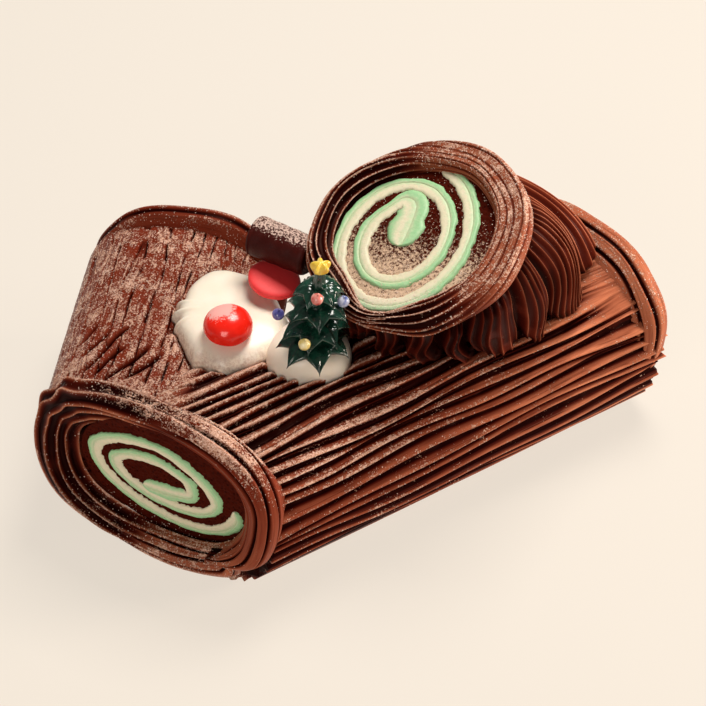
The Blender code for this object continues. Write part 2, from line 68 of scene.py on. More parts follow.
SHOW_LEAN = 6.3                # how much further forward the show cut stands at its foot


# ------------------------------------------------------------------ numbers
def smooth(x, low=0.0, high=1.0):
    t = np.clip((x - low) / (high - low), 0, 1)
    return t * t * (3 - 2 * t)


def waves(seed, x, lengths, rows=1):
    """Smooth random curves: one row per seed row, sampled at x."""
    rng = np.random.default_rng(seed)
    out = np.zeros((rows, len(x)))
    for length in lengths:
        phase = rng.uniform(0, TAU, (rows, 1))
        stretch = rng.uniform(0.8, 1.25, (rows, 1))
        out += np.sin(TAU * x[None, :] / (length * stretch) + phase)
    return out / np.sqrt(len(lengths))


def power_circle(angle, a, b, power):
    c, s = np.cos(angle), np.sin(angle)
    return np.sign(c) * np.abs(c) ** (2 / power) * a, np.sign(s) * np.abs(s) ** (2 / power) * b


def unit(v):
    return v / np.maximum(np.linalg.norm(v, axis=-1, keepdims=True), 1e-9)


def spline(points, samples):
    """A smooth curve through points (..., n, 3): Catmull-Rom, sampled evenly per span."""
    p = np.concatenate([2 * points[..., :1, :] - points[..., 1:2, :], points,
                        2 * points[..., -1:, :] - points[..., -2:-1, :]], axis=-2)
    spans = points.shape[-2] - 1
    t = np.linspace(0, spans, samples)
    k = np.minimum(t.astype(int), spans - 1)
    f = (t - k)[:, None]
    a, b, c, d = (p[..., k + i, :] for i in range(4))
    return 0.5 * (2 * b + (c - a) * f + (2 * a - 5 * b + 4 * c - d) * f ** 2
                  + (3 * b - a - 3 * c + d) * f ** 3)


# ------------------------------------------------------------------ meshes
def grid_faces(rows, cols, wrap_rows=False, wrap_cols=False, start=0):
    r = np.arange(rows if wrap_rows else rows - 1)
    c = np.arange(cols if wrap_cols else cols - 1)
    r, c = np.meshgrid(r, c, indexing="ij")
    r2, c2 = (r + 1) % rows, (c + 1) % cols
    quads = np.stack([r * cols + c, r * cols + c2, r2 * cols + c2, r2 * cols + c], axis=-1)
    return quads.reshape(-1, 4) + start


def build(name, points, faces, look, replaces=(), values=None, smooth_faces=True):
    """One closed piece from points in mm and a list of faces or arrays of faces, turned to face outwards."""
    points = np.asarray(points, dtype=float).reshape(-1, 3)
    blocks = [np.atleast_2d(block) for block in faces]
    volume = 0
    for block in blocks:
        first = points[block[:, :1]]
        fan = points[block[:, 1:]]
        volume += np.sum(first * np.cross(fan[:, :-1], fan[:, 1:]))
    lists = []
    for block in blocks:
        lists += (block[:, ::-1] if volume < 0 else block).tolist()
    mesh = bpy.data.meshes.new(name)
    mesh.from_pydata((points * MM).tolist(), [], lists)
    for key, data in (values or {}).items():
        layer = mesh.attributes.new(key, "FLOAT", "POINT")
        layer.data.foreach_set("value", np.asarray(data, dtype=np.float32).ravel())
    mesh.validate()
    mesh.update()
    if smooth_faces:
        mesh.shade_smooth()
    mesh.materials.append(look)
    piece = bpy.data.objects.new(name, mesh)
    bpy.context.scene.collection.objects.link(piece)
    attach(piece, "root")
    if replaces:
        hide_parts(*replaces)
    return piece


def tube_piece(name, rows, look, replaces=(), values=None, wrap_rows=False):
    """A closed piece from rows of closed rings; the ends get flat caps unless it wraps."""
    count, around = rows.shape[0], rows.shape[1]
    faces = [grid_faces(count, around, wrap_rows, True)]
    if not wrap_rows:
        last = (count - 1) * around
        faces += [np.arange(around)[::-1], np.arange(last, last + around)]
    return build(name, rows, faces, look, replaces, values)


# ------------------------------------------------------------------ combed buttercream
PLACES = np.array([0, .03, .07, .12, .19, .26, .30, .34, .41, .48, .54, .60, .66, .73, .78, .82, .86, .91, .96])


def blade(p, thin, _share):
    """A stroke with its sharp crest low down, a slope above it and a deep gap with a thin line."""
    ridge = smooth(p, 0.0, 0.12) * (1 - 0.36 * smooth(p, 0.16, 0.50)) * (1 - smooth(p, 0.50, 0.68))
    line = np.exp(-((p - 0.30) / 0.03) ** 2) * smooth(thin, 0.3, 0.0)
    return ridge - 0.25 * line + 0.52 * thin * np.exp(-((p - 0.84) / 0.04) ** 2)


def slit(p, _thin, _share):
    """A broad flat stroke and a narrow slit."""
    return smooth(p, 0.0, 0.10) * (1 - smooth(p, 0.88, 0.99)) * (1 - 0.10 * np.sin(np.pi * p) ** 2)


def flat_band(p, _thin, _share):
    return smooth(p, 0.0, 0.12) * (1 - smooth(p, 0.74, 0.90)) * (1 - 0.12 * np.sin(np.pi * p))


def scallop(p, _thin, _share):
    """Hollow strokes between sharp crests, as a star nozzle leaves them."""
    return np.abs(2 * p - 1) ** 2.5


def combed(surface, stations, count, seed, depth, shape, length, spread=0.3, wave=(40, 90), uneven=0.3,
           bunch=0.0, merge=0.6, breaks=(30, 60), joins=0.45, out=1, warp=None, reshape=None, table=None):
    """Strokes combed along a base surface: surface(share along, share across) gives its points.

    Returns the points, each one's crest value (0 groove, 1 crest), its normal and, for each
    column, its place counted in strokes.
    """
    share = np.linspace(0, 1, stations)
    run = share * length
    rng = np.random.default_rng(seed + 2)
    width = 1 + uneven * rng.uniform(-1, 1, count)
    base = np.concatenate([[0], np.cumsum(width)]) * count / width.sum()
    if table is not None:
        base = np.asarray(table, dtype=float)
    row = np.arange(count + 1)[:, None]
    edges = base[:, None] + spread * waves(seed, run, wave, count + 1) * np.sqrt(0.5)
    edges = edges + bunch * np.sin(TAU * row / 7.3 + run[None] / 55 + seed) + 0 * run[None]
    edges[0], edges[-1] = 0, count
    for k in range(1, count + 1):
        edges[k] = np.maximum(edges[k], edges[k - 1] + 0.10)
    narrow = smooth(np.diff(edges, axis=0), 0.08, 0.62)
    edges = edges / edges[-1:]
    if warp:
        edges = warp(share[None], edges)
    joined = smooth(waves(seed + 1, run, breaks, count), joins, joins + 0.7)
    gap = (1 - merge * joined) * (1 - 0.30 * merge * rng.random((count, 1)))
    thin = smooth(waves(seed + 3, run, (60, 110), count), -0.6, 0.9)
    height = shape(PLACES[None, :, None], thin[:, None], share[None, None]) * (0.25 + 0.75 * narrow[:, None])
    u = edges[:-1, None] + (edges[1:] - edges[:-1])[:, None] * PLACES[None, :, None]
    rise = 1 - gap[:, None] * (1 - height)
    u = np.concatenate([u.reshape(-1, stations), np.ones((1, stations))]).T
    rise = np.concatenate([rise.reshape(-1, stations), rise.reshape(-1, stations)[:1]]).T
    lane = np.append((np.arange(count)[:, None] + PLACES[None]).ravel(), count)
    along = np.repeat(share[:, None], u.shape[1], axis=1)
    if reshape:
        along = reshape(along, lane)
    flat = surface(along, u)
    normal = surface_normals(surface(along, np.maximum.accumulate(u, axis=1)), out)
    return flat + normal * ((rise - 1) * depth)[..., None], rise, normal, lane


def surface_normals(points, flip_side=1):
    along = np.gradient(points, axis=0)
    across = np.gradient(points, axis=1)
    return unit(np.cross(across, along) + 1e-9) * flip_side


# ------------------------------------------------------------------ log and branch
def section(half_width, height, angle):
    middle = 0.45 * height
    across_up, up_up = power_circle(angle, half_width, height - middle, 2.3)
    across_low, up_low = power_circle(angle, half_width, middle * 1.07, 3.0)
    upper = np.sin(angle) >= 0
    return np.where(upper, across_up, across_low), np.maximum(middle + np.where(upper, up_up, up_low), 0)


def arm_surface(start_x, heading, widths, heights, length, first, last):
    """The smooth coat of an arm, from its near foot over the top to its far foot."""
    foot = radians(65)
    angles = np.pi + foot - (np.pi + 2 * foot) * np.linspace(0, 1, 500)
    path = np.stack(section(np.mean(widths), np.mean(heights), angles), axis=-1)
    arc = np.concatenate([[0], np.cumsum(np.linalg.norm(np.diff(path, axis=0), axis=-1))])
    along = np.array([np.cos(heading), np.sin(heading), 0])
    side = np.array([-np.sin(heading), np.cos(heading), 0])

    def surface(share, u):
        angle = np.interp(u, arc / arc[-1], angles)
        middle, level = section(np.mean(widths), np.mean(heights), angle)
        near, far = first(middle, level), last(middle)
        reach = near + (far - near) * share
        taper = reach / length
        half = widths[0] + (widths[1] - widths[0]) * taper
        tall = heights[0] + (heights[1] - heights[0]) * taper
        across, up = section(half, tall, angle)
        return (np.array([start_x, 0.0, 0.0]) + reach[..., None] * along
                + across[..., None] * side + up[..., None] * Z_UP)
    return surface


def show_lean(z):
    return SHOW_LEAN * (1 - smooth(z, 15, 72))


def log_first(y, z):
    """Where a line of the log starts: at the show cut, or at the mitre beside the branch."""
    show = SHOW_X + SHOW_SLANT * y - show_lean(z) * 1.15
    return np.maximum(show, APEX_X + np.maximum(y, 0) / MITRE) - LOG_START


def branch_first(a, z):
    mitre = np.maximum(-a, 0) / MITRE
    c, s = np.cos(BRANCH_HEADING), np.sin(BRANCH_HEADING)
    show = (SHOW_X - APEX_X + a * (s - (-SHOW_SLANT) * c)) / (c - SHOW_SLANT * s)
    return np.maximum(mitre, show - show_lean(z))


def log_top(y, half=43.0, tall=72.5):
    middle = 0.45 * tall
    inside = np.clip(1 - np.abs(y / half) ** 2.3, 0, 1)
    return middle + (tall - middle) * inside ** (1 / 2.3)


def coat_top(x, y):
    """Height of the coats over a place, for what lies on them."""
    c, s = np.cos(BRANCH_HEADING), np.sin(BRANCH_HEADING)
    reach = (x - APEX_X) * c + y * s
    across = -(x - APEX_X) * s + y * c
    on_branch = np.where(reach > 10, log_top(across, 38.5, 71.0), 0)
    return np.maximum(log_top(y, 43, 71.5 + (x + 100) * 0.015), on_branch)


# the pool's edge on the coats, point by point
POOL_EDGE = np.array([(-76, 44.7), (-69.8, 54.5), (-62.8, 60.6), (-53.8, 66.9), (-46.8, 66.9), (-40, 62.6),
                      (-34.7, 50), (-34, 38), (-38, 24), (-47, 13), (-56.5, 11.5), (-64.3, 12.2), (-72.3, 13.9),
                      (-77.5, 24.3), (-79.1, 33.3)])
POOL = np.array([-57.5, 38.0])
TREE_ICING = np.array([-41.3, 2.6])


def near_angle(angle, middle, width):
    """1 at an angle in degrees, falling to 0 a width away."""
    off = (np.degrees(angle) - middle + 180) % 360 - 180
    return np.exp(-(off / width) ** 2)


def pool_reach(angle):
    edge = POOL_EDGE - POOL
    heading, reach = np.arctan2(edge[:, 1], edge[:, 0]), np.hypot(edge[:, 0], edge[:, 1])
    order = np.argsort(heading)
    angle = (angle + np.pi) % TAU - np.pi
    soft = sum(np.interp(angle + step, heading[order], reach[order], period=TAU)
               for step in (-0.14, -0.07, 0, 0.07, 0.14)) / 5
    drips = (2.6 * near_angle(angle, 143, 3.2) + 2.0 * near_angle(angle, 126, 2.6)
             + 1.8 * near_angle(angle, 160, 3.4) + 1.6 * near_angle(angle, 208, 5))
    return soft + 0.35 * np.sin(11 * angle + 1) + drips


def tree_icing_reach(angle):
    return 17.3 - 4.6 * near_angle(angle, 238, 52) + 0.4 * np.sin(2 * angle) + 0.2 * np.sin(5 * angle)


def under_icing(points):
    """1 where a coat lies under white icing, 0 outside it."""
    covered = np.zeros(points.shape[:2])
    for middle, reach in ((POOL, pool_reach), (TREE_ICING, tree_icing_reach)):
        x, y = points[..., 0] - middle[0], points[..., 1] - middle[1]
        share = np.hypot(x, y) / reach(np.arctan2(y, x))
        covered = np.maximum(covered, 1 - smooth(share, 0.98, 1.12))
    return covered * smooth(points[..., 2], 40, 55)


# ------------------------------------------------------------------ node materials
class Look:
    """A small helper around one material's node tree."""

    def __init__(self, name, **sockets):
        self.material = bpy.data.materials.new(name)
        self.material.use_nodes = True
        self.tree = self.material.node_tree
        self.shader = self.tree.nodes["Principled BSDF"]
        for key, value in sockets.items():
            self.shader.inputs[key.replace("_", " ")].default_value = value
        self.coords = self.node("ShaderNodeTexCoord").outputs["Object"]

    def node(self, kind, **settings):
        made = self.tree.nodes.new(kind)
        for key, value in settings.items():
            setattr(made, key, value)
        return made

    def feed(self, socket, value):
        if hasattr(value, "is_linked"):
            self.tree.links.new(value, socket)
        elif isinstance(value, tuple) and len(value) == 3 and socket.type == "RGBA":
            socket.default_value = (*value, 1)
        else:
            socket.default_value = value

    def noise(self, size_mm, detail=2.0, rough=0.5, warp=0.0, coords=None):
        made = self.node("ShaderNodeTexNoise")
        self.feed(made.inputs["Scale"], 1.0 if coords else 1.0 / (size_mm * MM))
        self.feed(made.inputs["Detail"], detail)
        self.feed(made.inputs["Roughness"], rough)
        self.feed(made.inputs["Distortion"], warp)
        self.feed(made.inputs["Vector"], coords or self.coords)
        return made.outputs["Fac"]

    def combed_coords(self, across, along_mm):
        """Coordinates that follow the strokes: across in strokes, along in mm."""
        made = self.node("ShaderNodeCombineXYZ")
        self.feed(made.inputs[0], self.math("MULTIPLY", self.value("lane"), across))
        self.feed(made.inputs[1], self.math("MULTIPLY", self.value("run"), 1.0 / along_mm))
        return made.outputs[0]

    def cells(self, size_mm, feature="F1", random=1.0):
        made = self.node("ShaderNodeTexVoronoi", feature=feature)
        self.feed(made.inputs["Scale"], 1.0 / (size_mm * MM))
        self.feed(made.inputs["Randomness"], random)
        self.feed(made.inputs["Vector"], self.coords)
        return made.outputs["Distance"]

    def value(self, name):
        return self.node("ShaderNodeAttribute", attribute_name=name).outputs["Fac"]

    def up(self):
        """How far the surface faces up, -1 to 1."""
        geometry = self.node("ShaderNodeNewGeometry")
        split = self.node("ShaderNodeSeparateXYZ")
        self.feed(split.inputs[0], geometry.outputs["Normal"])
        return split.outputs["Z"]

    def math(self, operation, *values, clamp=False):
        made = self.node("ShaderNodeMath", operation=operation, use_clamp=clamp)
        for socket, value in zip(made.inputs, values):
            self.feed(socket, value)
        return made.outputs[0]

    def span(self, value, low, high, to_low=0.0, to_high=1.0):
        made = self.node("ShaderNodeMapRange")
        for socket, number in zip(made.inputs, (value, low, high, to_low, to_high)):
            self.feed(socket, number)
        return made.outputs[0]

    def mix(self, share, a, b):
        made = self.node("ShaderNodeMix", data_type="RGBA")
        self.feed(made.inputs[0], share)
        self.feed(made.inputs[6], a)
        self.feed(made.inputs[7], b)
        return made.outputs[2]

    def bump(self, height, strength, distance_mm, under=None):
        made = self.node("ShaderNodeBump")
        self.feed(made.inputs["Strength"], strength)
        self.feed(made.inputs["Distance"], distance_mm * MM)
        self.feed(made.inputs["Height"], height)
        if under:
            self.feed(made.inputs["Normal"], under)
        return made.outputs["Normal"]

    def finish(self, colour=None, roughness=None, normal=None):
        for name, value in (("Base Color", colour), ("Roughness", roughness), ("Normal", normal)):
            if value is not None:
                self.feed(self.shader.inputs[name], value)
        return self.material


def buttercream_look():
    look = Look("buttercream_look", Specular_IOR_Level=0.05)
    look.shader.inputs["Specular Tint"].default_value = (1.0, 0.42, 0.30, 1)
    crest, dust, tone_and_painted_light = look.value("crest"), look.value("dust"), look.value("tone_and_painted_light")
    grain = look.noise(0.80, 4, 0.68)
    clump = look.math("ADD", look.math("MULTIPLY", look.noise(3.4, 3, 0.6), 0.6), look.math("MULTIPLY", look.noise(12, 2), 0.4))
    streak = look.noise(1, 4, 0.62, coords=look.combed_coords(2.4, 34))
    fine_streak = look.noise(1, 3, 0.6, coords=look.combed_coords(7.0, 22))
    # painted shade: deep is the near-black given to the grooves (low crest values) as the shade in them; light is the
    # peach the crests are lifted to, painted light and highlight
    deep, mid, light = (0.0095, 0.0004, 0.0004), (0.165, 0.0175, 0.0070), (0.64, 0.225, 0.115)
    body = look.mix(look.span(crest, 0.30, 0.90), deep, mid)
    # painted light: the per-point tone-and-light value lifts the crests towards light, partly the cream's warmer tone,
    # partly painted light and highlight lines
    lift = look.math("MULTIPLY", tone_and_painted_light, look.span(streak, 0.32, 0.68, 0.45, 1.15), clamp=True)
    body = look.mix(look.math("MULTIPLY", lift, look.span(crest, 0.50, 0.97)), body, light)
    body = look.mix(look.span(fine_streak, 0.50, 0.72, 0.0, 0.55), body, (0.040, 0.0055, 0.0025))
    grain_even = look.span(grain, 0.32, 0.68)
    patchy = look.span(clump, 0.36, 0.64, -0.34, 0.34)
    edge = look.math("ADD", look.math("MULTIPLY", dust, -1.16), 1.28)
    combed_in = look.span(fine_streak, 0.34, 0.66, 0.20, -0.20)
    over = look.math("SUBTRACT", look.math("ADD", look.math("ADD", grain_even, patchy), combed_in), edge)
    mask = look.span(over, -0.10, 0.12)
    tint = look.mix(look.span(look.noise(0.6, 3, 0.7), 0.36, 0.64), (0.44, 0.180, 0.095), (0.88, 0.61, 0.49))
    colour = look.mix(look.math("MULTIPLY", mask, 0.92), body, tint)
    fine = look.bump(look.math("ADD", look.math("MULTIPLY", fine_streak, 0.5), streak), 0.45, 0.55)
    normal = look.bump(look.math("MULTIPLY", grain, mask), 0.9, 0.5, fine)
    return look.finish(colour, look.span(mask, 0, 1, 0.36, 0.9), normal)


def sponge_look():
    look = Look("sponge_look", Specular_IOR_Level=0.05)
    look.shader.inputs["Specular Tint"].default_value = (1.0, 0.5, 0.4, 1)
    dust = look.value("dust")
    crumb = look.noise(1.1, 4, 0.7)
    pores = look.cells(1.5)
    dark = look.mix(look.noise(5, 2), (0.036, 0.0026, 0.0011), (0.076, 0.0080, 0.0028))
    # painted shade: the pores are coloured darker, as the shade in them
    dark = look.mix(look.span(pores, 0.10, 0.42), (0.018, 0.0010, 0.0005), dark)
    powder = look.math("ADD", dust, look.math("MULTIPLY", crumb, 1.1))
    mask = look.span(powder, 1.04, 1.20)
    colour = look.mix(look.math("MULTIPLY", mask, 0.85), dark, (0.74, 0.53, 0.37))
    height = look.math("ADD", look.math("MULTIPLY", pores, 0.6), crumb)
    return look.finish(colour, look.span(mask, 0, 1, 0.75, 0.95), look.bump(height, 0.8, 0.5))


def cream_look(name, base, other):
    look = Look(name, Roughness=0.45, Subsurface_Weight=0.12)
    look.shader.inputs["Subsurface Radius"].default_value = (0.002, 0.0016, 0.001)
    dust = look.value("dust")
    blend = look.math("ADD", look.value("blend"), look.span(look.noise(1.6, 4, 0.7), 0.3, 0.7, -0.22, 0.22),
                      clamp=True)
    colour = look.mix(blend, base, other)
    spots = look.span(look.noise(2.2, 4, 0.7), 0.56, 0.72)
    colour = look.mix(look.math("MULTIPLY", spots, 0.22), colour, (0.30, 0.24, 0.13))
    crumb = look.noise(0.9, 3, 0.7)
    mask = look.span(look.math("ADD", dust, crumb), 1.0, 1.2)
    colour = look.mix(look.math("MULTIPLY", mask, 0.5), colour, (0.86, 0.74, 0.62))
    return look.finish(colour, None, look.bump(look.noise(0.7, 4, 0.7), 0.45, 0.3))


def icing_look():
    look = Look("white_icing_look", Roughness=0.38, Subsurface_Weight=0.15, Coat_Weight=0.15,
                Coat_Roughness=0.35)
    look.shader.inputs["Subsurface Radius"].default_value = (0.003, 0.0022, 0.0015)
    colour = look.mix(look.noise(9, 3), (0.90, 0.79, 0.63), (0.97, 0.90, 0.79))
    stain = look.math("MULTIPLY", look.value("dust"), look.span(look.noise(1.4, 4, 0.7), 0.42, 0.62),
                      clamp=True)
    colour = look.mix(stain, colour, (0.38, 0.19, 0.11))
    swell = look.bump(look.noise(12, 2), 0.25, 1.2)
    return look.finish(colour, None, look.bump(look.noise(0.9, 3), 0.12, 0.2, swell))


def candy_look():
    look = Look("red_candy_look", Coat_Weight=0.35, Coat_Roughness=0.16, Specular_IOR_Level=0.3)
    # painted highlight: the pale patch from the dust value is frost on the candy and a painted highlight in one
    frost_and_highlight = look.value("dust")
    patch = look.math("ADD", frost_and_highlight, look.span(look.noise(1.5, 5, 0.7), 0.25, 0.75, -0.55, 0.55))
    mask = look.span(patch, 0.45, 0.75)
    base = look.mix(look.noise(3, 3), (0.92, 0.012, 0.006), (1.0, 0.026, 0.010))
    colour = look.mix(look.math("MULTIPLY", mask, 0.85), base, (0.93, 0.50, 0.46))
    return look.finish(colour, look.span(mask, 0, 1, 0.22, 0.7), look.bump(look.noise(0.8, 3), 0.2, 0.2))


def sugar_paste_look():
    look = Look("red_sugar_paste_look", Roughness=0.6)
    colour = look.mix(look.noise(2.5, 4, 0.6), (0.78, 0.030, 0.034), (0.92, 0.055, 0.058))
    pale = look.span(look.noise(1.0, 4, 0.7), 0.62, 0.75)
    colour = look.mix(look.math("MULTIPLY", pale, 0.25), colour, (0.85, 0.30, 0.26))
    return look.finish(colour, None, look.bump(look.noise(0.7, 3), 0.25, 0.2))


def dark_chocolate_look():
    look = Look("dark_chocolate_look", Specular_IOR_Level=0.12)
    dust = look.value("dust")
    grain = look.span(look.noise(0.9, 4, 0.7), 0.32, 0.68)
    mask = look.span(look.math("ADD", dust, grain), 1.02, 1.16)
    base = look.mix(look.noise(4, 3), (0.028, 0.0022, 0.0016), (0.062, 0.0062, 0.0036))
    colour = look.mix(look.math("MULTIPLY", mask, 0.9), base, (0.72, 0.52, 0.44))
    return look.finish(colour, look.span(mask, 0, 1, 0.42, 0.9), look.bump(grain, 0.3, 0.3))


def plastic_look(name, low, high, roughness=0.2, glints=None):
    look = Look(name, Roughness=roughness, Coat_Weight=0.5, Coat_Roughness=0.08)
    colour = look.mix(look.span(look.noise(3, 3), 0.35, 0.65), low, high)
    if glints:
        mask = look.span(look.math("ADD", look.value("dust"), look.noise(1.6, 3)), 1.05, 1.2)
        colour = look.mix(look.math("MULTIPLY", mask, 0.75), colour, glints)
    return look.finish(colour, None, look.bump(look.noise(1.2, 2), 0.12, 0.15))


def sugar_look():
    look = Look("sugar_look", Roughness=0.55)
    return look.finish(look.mix(look.noise(1.5, 2), (0.74, 0.52, 0.42), (0.93, 0.80, 0.70)))


BUTTERCREAM = buttercream_look()
SPONGE = sponge_look()
CREAM_COLOUR, MINT_COLOUR = (0.76, 0.70, 0.50), (0.33, 0.61, 0.31)
CREAM = cream_look("cream_look", CREAM_COLOUR, MINT_COLOUR)
MINT = cream_look("mint_look", MINT_COLOUR, CREAM_COLOUR)
ICING = icing_look()
SUGAR = sugar_look()

SPRINKLED = []                 # what the loose sugar may lie on: points, faces and chance


def sprinkle(points, faces, chance):
    SPRINKLED.append((np.asarray(points).reshape(-1, 3), faces, np.asarray(chance).ravel()))


def frosting(name, points, crest, lane, length, dust, replaces, tone_and_painted_light=0.3, chance=1.0):
    """A buttercream piece from a combed surface whose columns close on themselves."""
    rows, cols = points.shape[:2]
    points = points.copy()
    points[..., 2] = np.maximum(points[..., 2], 0.05)
    faces = [grid_faces(rows, cols, False, True)]
    sprinkle(points, faces[0], dust * chance)
    last = (rows - 1) * cols
    faces += [np.arange(cols)[::-1], np.arange(last, last + cols)]
    run = np.linspace(0, length, rows)[:, None] + 0 * crest
    values = {"crest": crest, "dust": dust, "tone_and_painted_light": np.broadcast_to(tone_and_painted_light, crest.shape),
              "lane": lane[None, :cols] + 0 * crest, "run": run}
    return build(name, points, faces, BUTTERCREAM, replaces, values)


# ------------------------------------------------------------------ coats
def log_last(y):
    return LOG_END - LOG_START + LOG_END_SLANT * y


def powder_on(points, normal, crest, amount, least=0.0):
    facing = np.maximum(smooth(normal[..., 2], -0.35, 0.65), least)
    return amount * facing * (0.12 + 0.88 * crest ** 2.5)


# grooves combed slantwise into the branch beside the fork, end to end
FAN = [((-119.2, 45.7), (-91.3, 55.1)), ((-117.6, 40.6), (-98.6, 45.5)), ((-115.1, 33.0), (-90.0, 41.4)),
       ((-113.8, 53.8), (-99.7, 59.0)), ((-108.0, 29.5), (-88.0, 35.5)), ((-112.0, 62.8), (-101.0, 66.6))]


def scored(points, normal, crest, lines, width, depth):
    """Grooves pressed into a coat along straight lines seen from above."""
    mark = np.zeros(points.shape[:2])
    for first, last in lines:
        first, last = np.array(first), np.array(last)
        along = unit(last - first)
        length = np.linalg.norm(last - first)
        off = points[..., :2] - first
        run = off @ along
        away = off @ np.array([-along[1], along[0]]) + 0.8 * np.sin(run / 5 + first[0])
        ends = smooth(run, -2, 5) * (1 - smooth(run, length - 5, length + 2))
        mark = np.maximum(mark, np.exp(-(away / width) ** 2) * ends)
    mark = mark * smooth(points[..., 2], 40, 50)
    # the pressed grooves get a low crest value, so they are coloured with the painted groove shade
    return points - normal * (mark * depth)[..., None], crest * (1 - 0.9 * mark)


def coats():
    count = 41
    surface = arm_surface(LOG_START, 0.0, LOG_WIDTHS, LOG_HEIGHTS, LOG_END - LOG_START, log_first, log_last)
    points, crest, normal, lane = combed(surface, 200, count, 11, 3.5, blade, 200, spread=0.42, wave=(105, 240),
                                         uneven=0.36, bunch=0.34, merge=0.16, out=-1)
    rng = np.random.default_rng(5)
    share = np.linspace(0, 1, points.shape[0])[:, None]
    run = share * 200
    fork = smooth(points[:1, :, 1], -2, 8) * smooth(points[:1, :, 2], 40, 60)
    late = rng.uniform(0, 9, count + 1)[np.minimum(lane.astype(int), count)][None]
    fill = fork * (1 - smooth(run, late, late + 15))
    points += normal * (fill * ((1 - crest) * 3.5 - 0.3))[..., None]
    points[..., 0] -= fork * (1 - smooth(run, 0, 6)) * 2.5
    crest = crest + fill * (0.85 - crest)
    crest[0] = np.maximum(crest[0], 0.55)
    fill = smooth(share, 0.78, 0.93) * smooth(points[..., 2], 48, 64) * 0.92
    points += normal * (fill * (1 - crest) * 3.5)[..., None]
    crest = crest + fill * (0.80 - crest)
    low = 1 - smooth(points[..., 2], 10, 50)
    points += normal * (low * 0.55 * (1 - crest) * 3.5)[..., None]
    # painted shade: low on the near side the dark groove colour spreads up the slopes, as the shade in the grooves
    # there
    crest = crest ** (1 + 1.8 * low)
    points -= normal * (under_icing(points) * 2.6)[..., None]
    tuft = rng.uniform(0.2, 1.0, count + 1)[np.minimum(lane.astype(int), count)]
    near = smooth(-points[-1:, :, 1], -12, 18)
    beyond = 1.5 + near * (1.5 + 2.5 * tuft)[None]
    beyond = beyond * (0.45 + 0.55 * smooth(points[..., 2], 8, 36))
    points[..., 0] += smooth(share, 0.90, 1.0) ** 1.4 * (beyond * (0.55 + 0.45 * crest) - 0.6 * (1 - crest))
    skirt = 1 - smooth(points[..., 2], 0.5, 6)
    ragged = 0.9 + 0.9 * waves(6, share[:, 0] * 200, (9, 17, 31), 1)[0][:, None]
    points[..., 1] += np.sign(points[..., 1]) * skirt * np.clip(ragged, 0, 2.2)
    tucked = points[-1:].copy()
    middle = np.array([0, 0, 38.0])
    inner = middle + (tucked - middle) * np.array([1, 0.88, 0.88]) - np.array([1.0, 0, 0])
    behind = middle + (tucked - middle) * np.array([1, 0.76, 0.70])
    behind[..., 0] = LOG_END - 9 + LOG_END_SLANT * behind[..., 1]
    points = np.concatenate([points, inner, behind])
    # the tucked rows under the end collar get a low crest value: painted shade under the collar
    crest = np.concatenate([crest, crest[-1:] * 0.3, crest[-1:] * 0.3])
    normal = np.concatenate([normal, normal[-1:], normal[-1:]])
    x, y, z = points[..., 0], points[..., 1], points[..., 2]
    along = x + 0.5 * y
    amount = 1.02 - 0.56 * smooth(along, -70, 50)
    amount = amount + 0.15 * np.sin(0.9 * lane)[None] * smooth(along, -40, 40)
    dust = powder_on(points, normal, crest, amount, 0.52)
    at_fork = fork * (1 - smooth(np.concatenate([run, run[-1:], run[-1:]]), 0, 14))
    dust = np.maximum(dust, 0.75 * at_fork)
    # painted light: crests lighter and more peach towards the far end, as the warm side light there, partly the
    # cream's own tone
    tone_and_painted_light = 0.42 + 0.62 * smooth(along, -40, 70)
    # painted light: the foot band gets a higher crest value, a strong peach lift and more powder, lighter than the
    # shade at the foot leaves it
    foot = 1 - smooth(z, 2, 9)
    crest = crest + 0.6 * foot * (1 - crest)
    tone_and_painted_light = np.maximum(tone_and_painted_light, 0.95 * foot)
    dust = np.maximum(dust, 0.60 * foot)
    frosting("log_coat", points, crest, lane, 200, dust, ["log_frosting"], tone_and_painted_light=tone_and_painted_light,
             chance=smooth(crest, 0.6, 0.9) * (1 - 0.8 * smooth(along, -60, 30)))

    count = 31
    surface = arm_surface(APEX_X, BRANCH_HEADING, BRANCH_WIDTHS, BRANCH_HEIGHTS, BRANCH_LENGTH,
                          branch_first, lambda a: BRANCH_LENGTH + 0 * a)
    points, crest, normal, lane = combed(surface, 160, count, 31, 2.9, slit, 110, spread=0.22,
                                         wave=(60, 140), uneven=0.45, merge=1.0, breaks=(16, 34),
                                         joins=-0.25, out=-1)
    points -= normal * (under_icing(points) * 2.6)[..., None]
    points, crest = scored(points, normal, crest, FAN, 0.95, 2.4)
    axis = np.array([np.cos(BRANCH_HEADING), np.sin(BRANCH_HEADING), 0])
    middle = np.array([APEX_X, 0, 36.0]) + axis * BRANCH_LENGTH
    inner = middle + (points[-1:] - middle) * 0.88
    behind = middle + (points[-1:] - middle) * np.array([0.74, 0.74, 0.68]) - axis * 9
    points = np.concatenate([points, inner, behind])
    # the tucked rows under the branch collar get a low crest value: painted shade under the collar
    crest = np.concatenate([crest, crest[-1:] * 0.3, crest[-1:] * 0.3])
    normal = np.concatenate([normal, normal[-1:], normal[-1:]])
    dust = powder_on(points, normal, crest, 0.64)
    frosting("branch_coat", points, crest, lane, 110, dust, ["branch_frosting"], tone_and_painted_light=0.08)


# the wall's folds at the face: where each ends, in degrees, and how many strokes it has
FOLDS = [(-150, 0, 0), (-131, 4, 0.0), (-114, 4, 0.05), (-98, 4, 0.17), (-66, 7, 0.10), (-44, 6, 0.0), (2, 12, 0.0),
         (34, 8, 0.0), (66, 8, 0.04), (98, 8, 0.0), (130, 8, 0.08), (162, 8, 0.0), (210, 9, 0.05)]


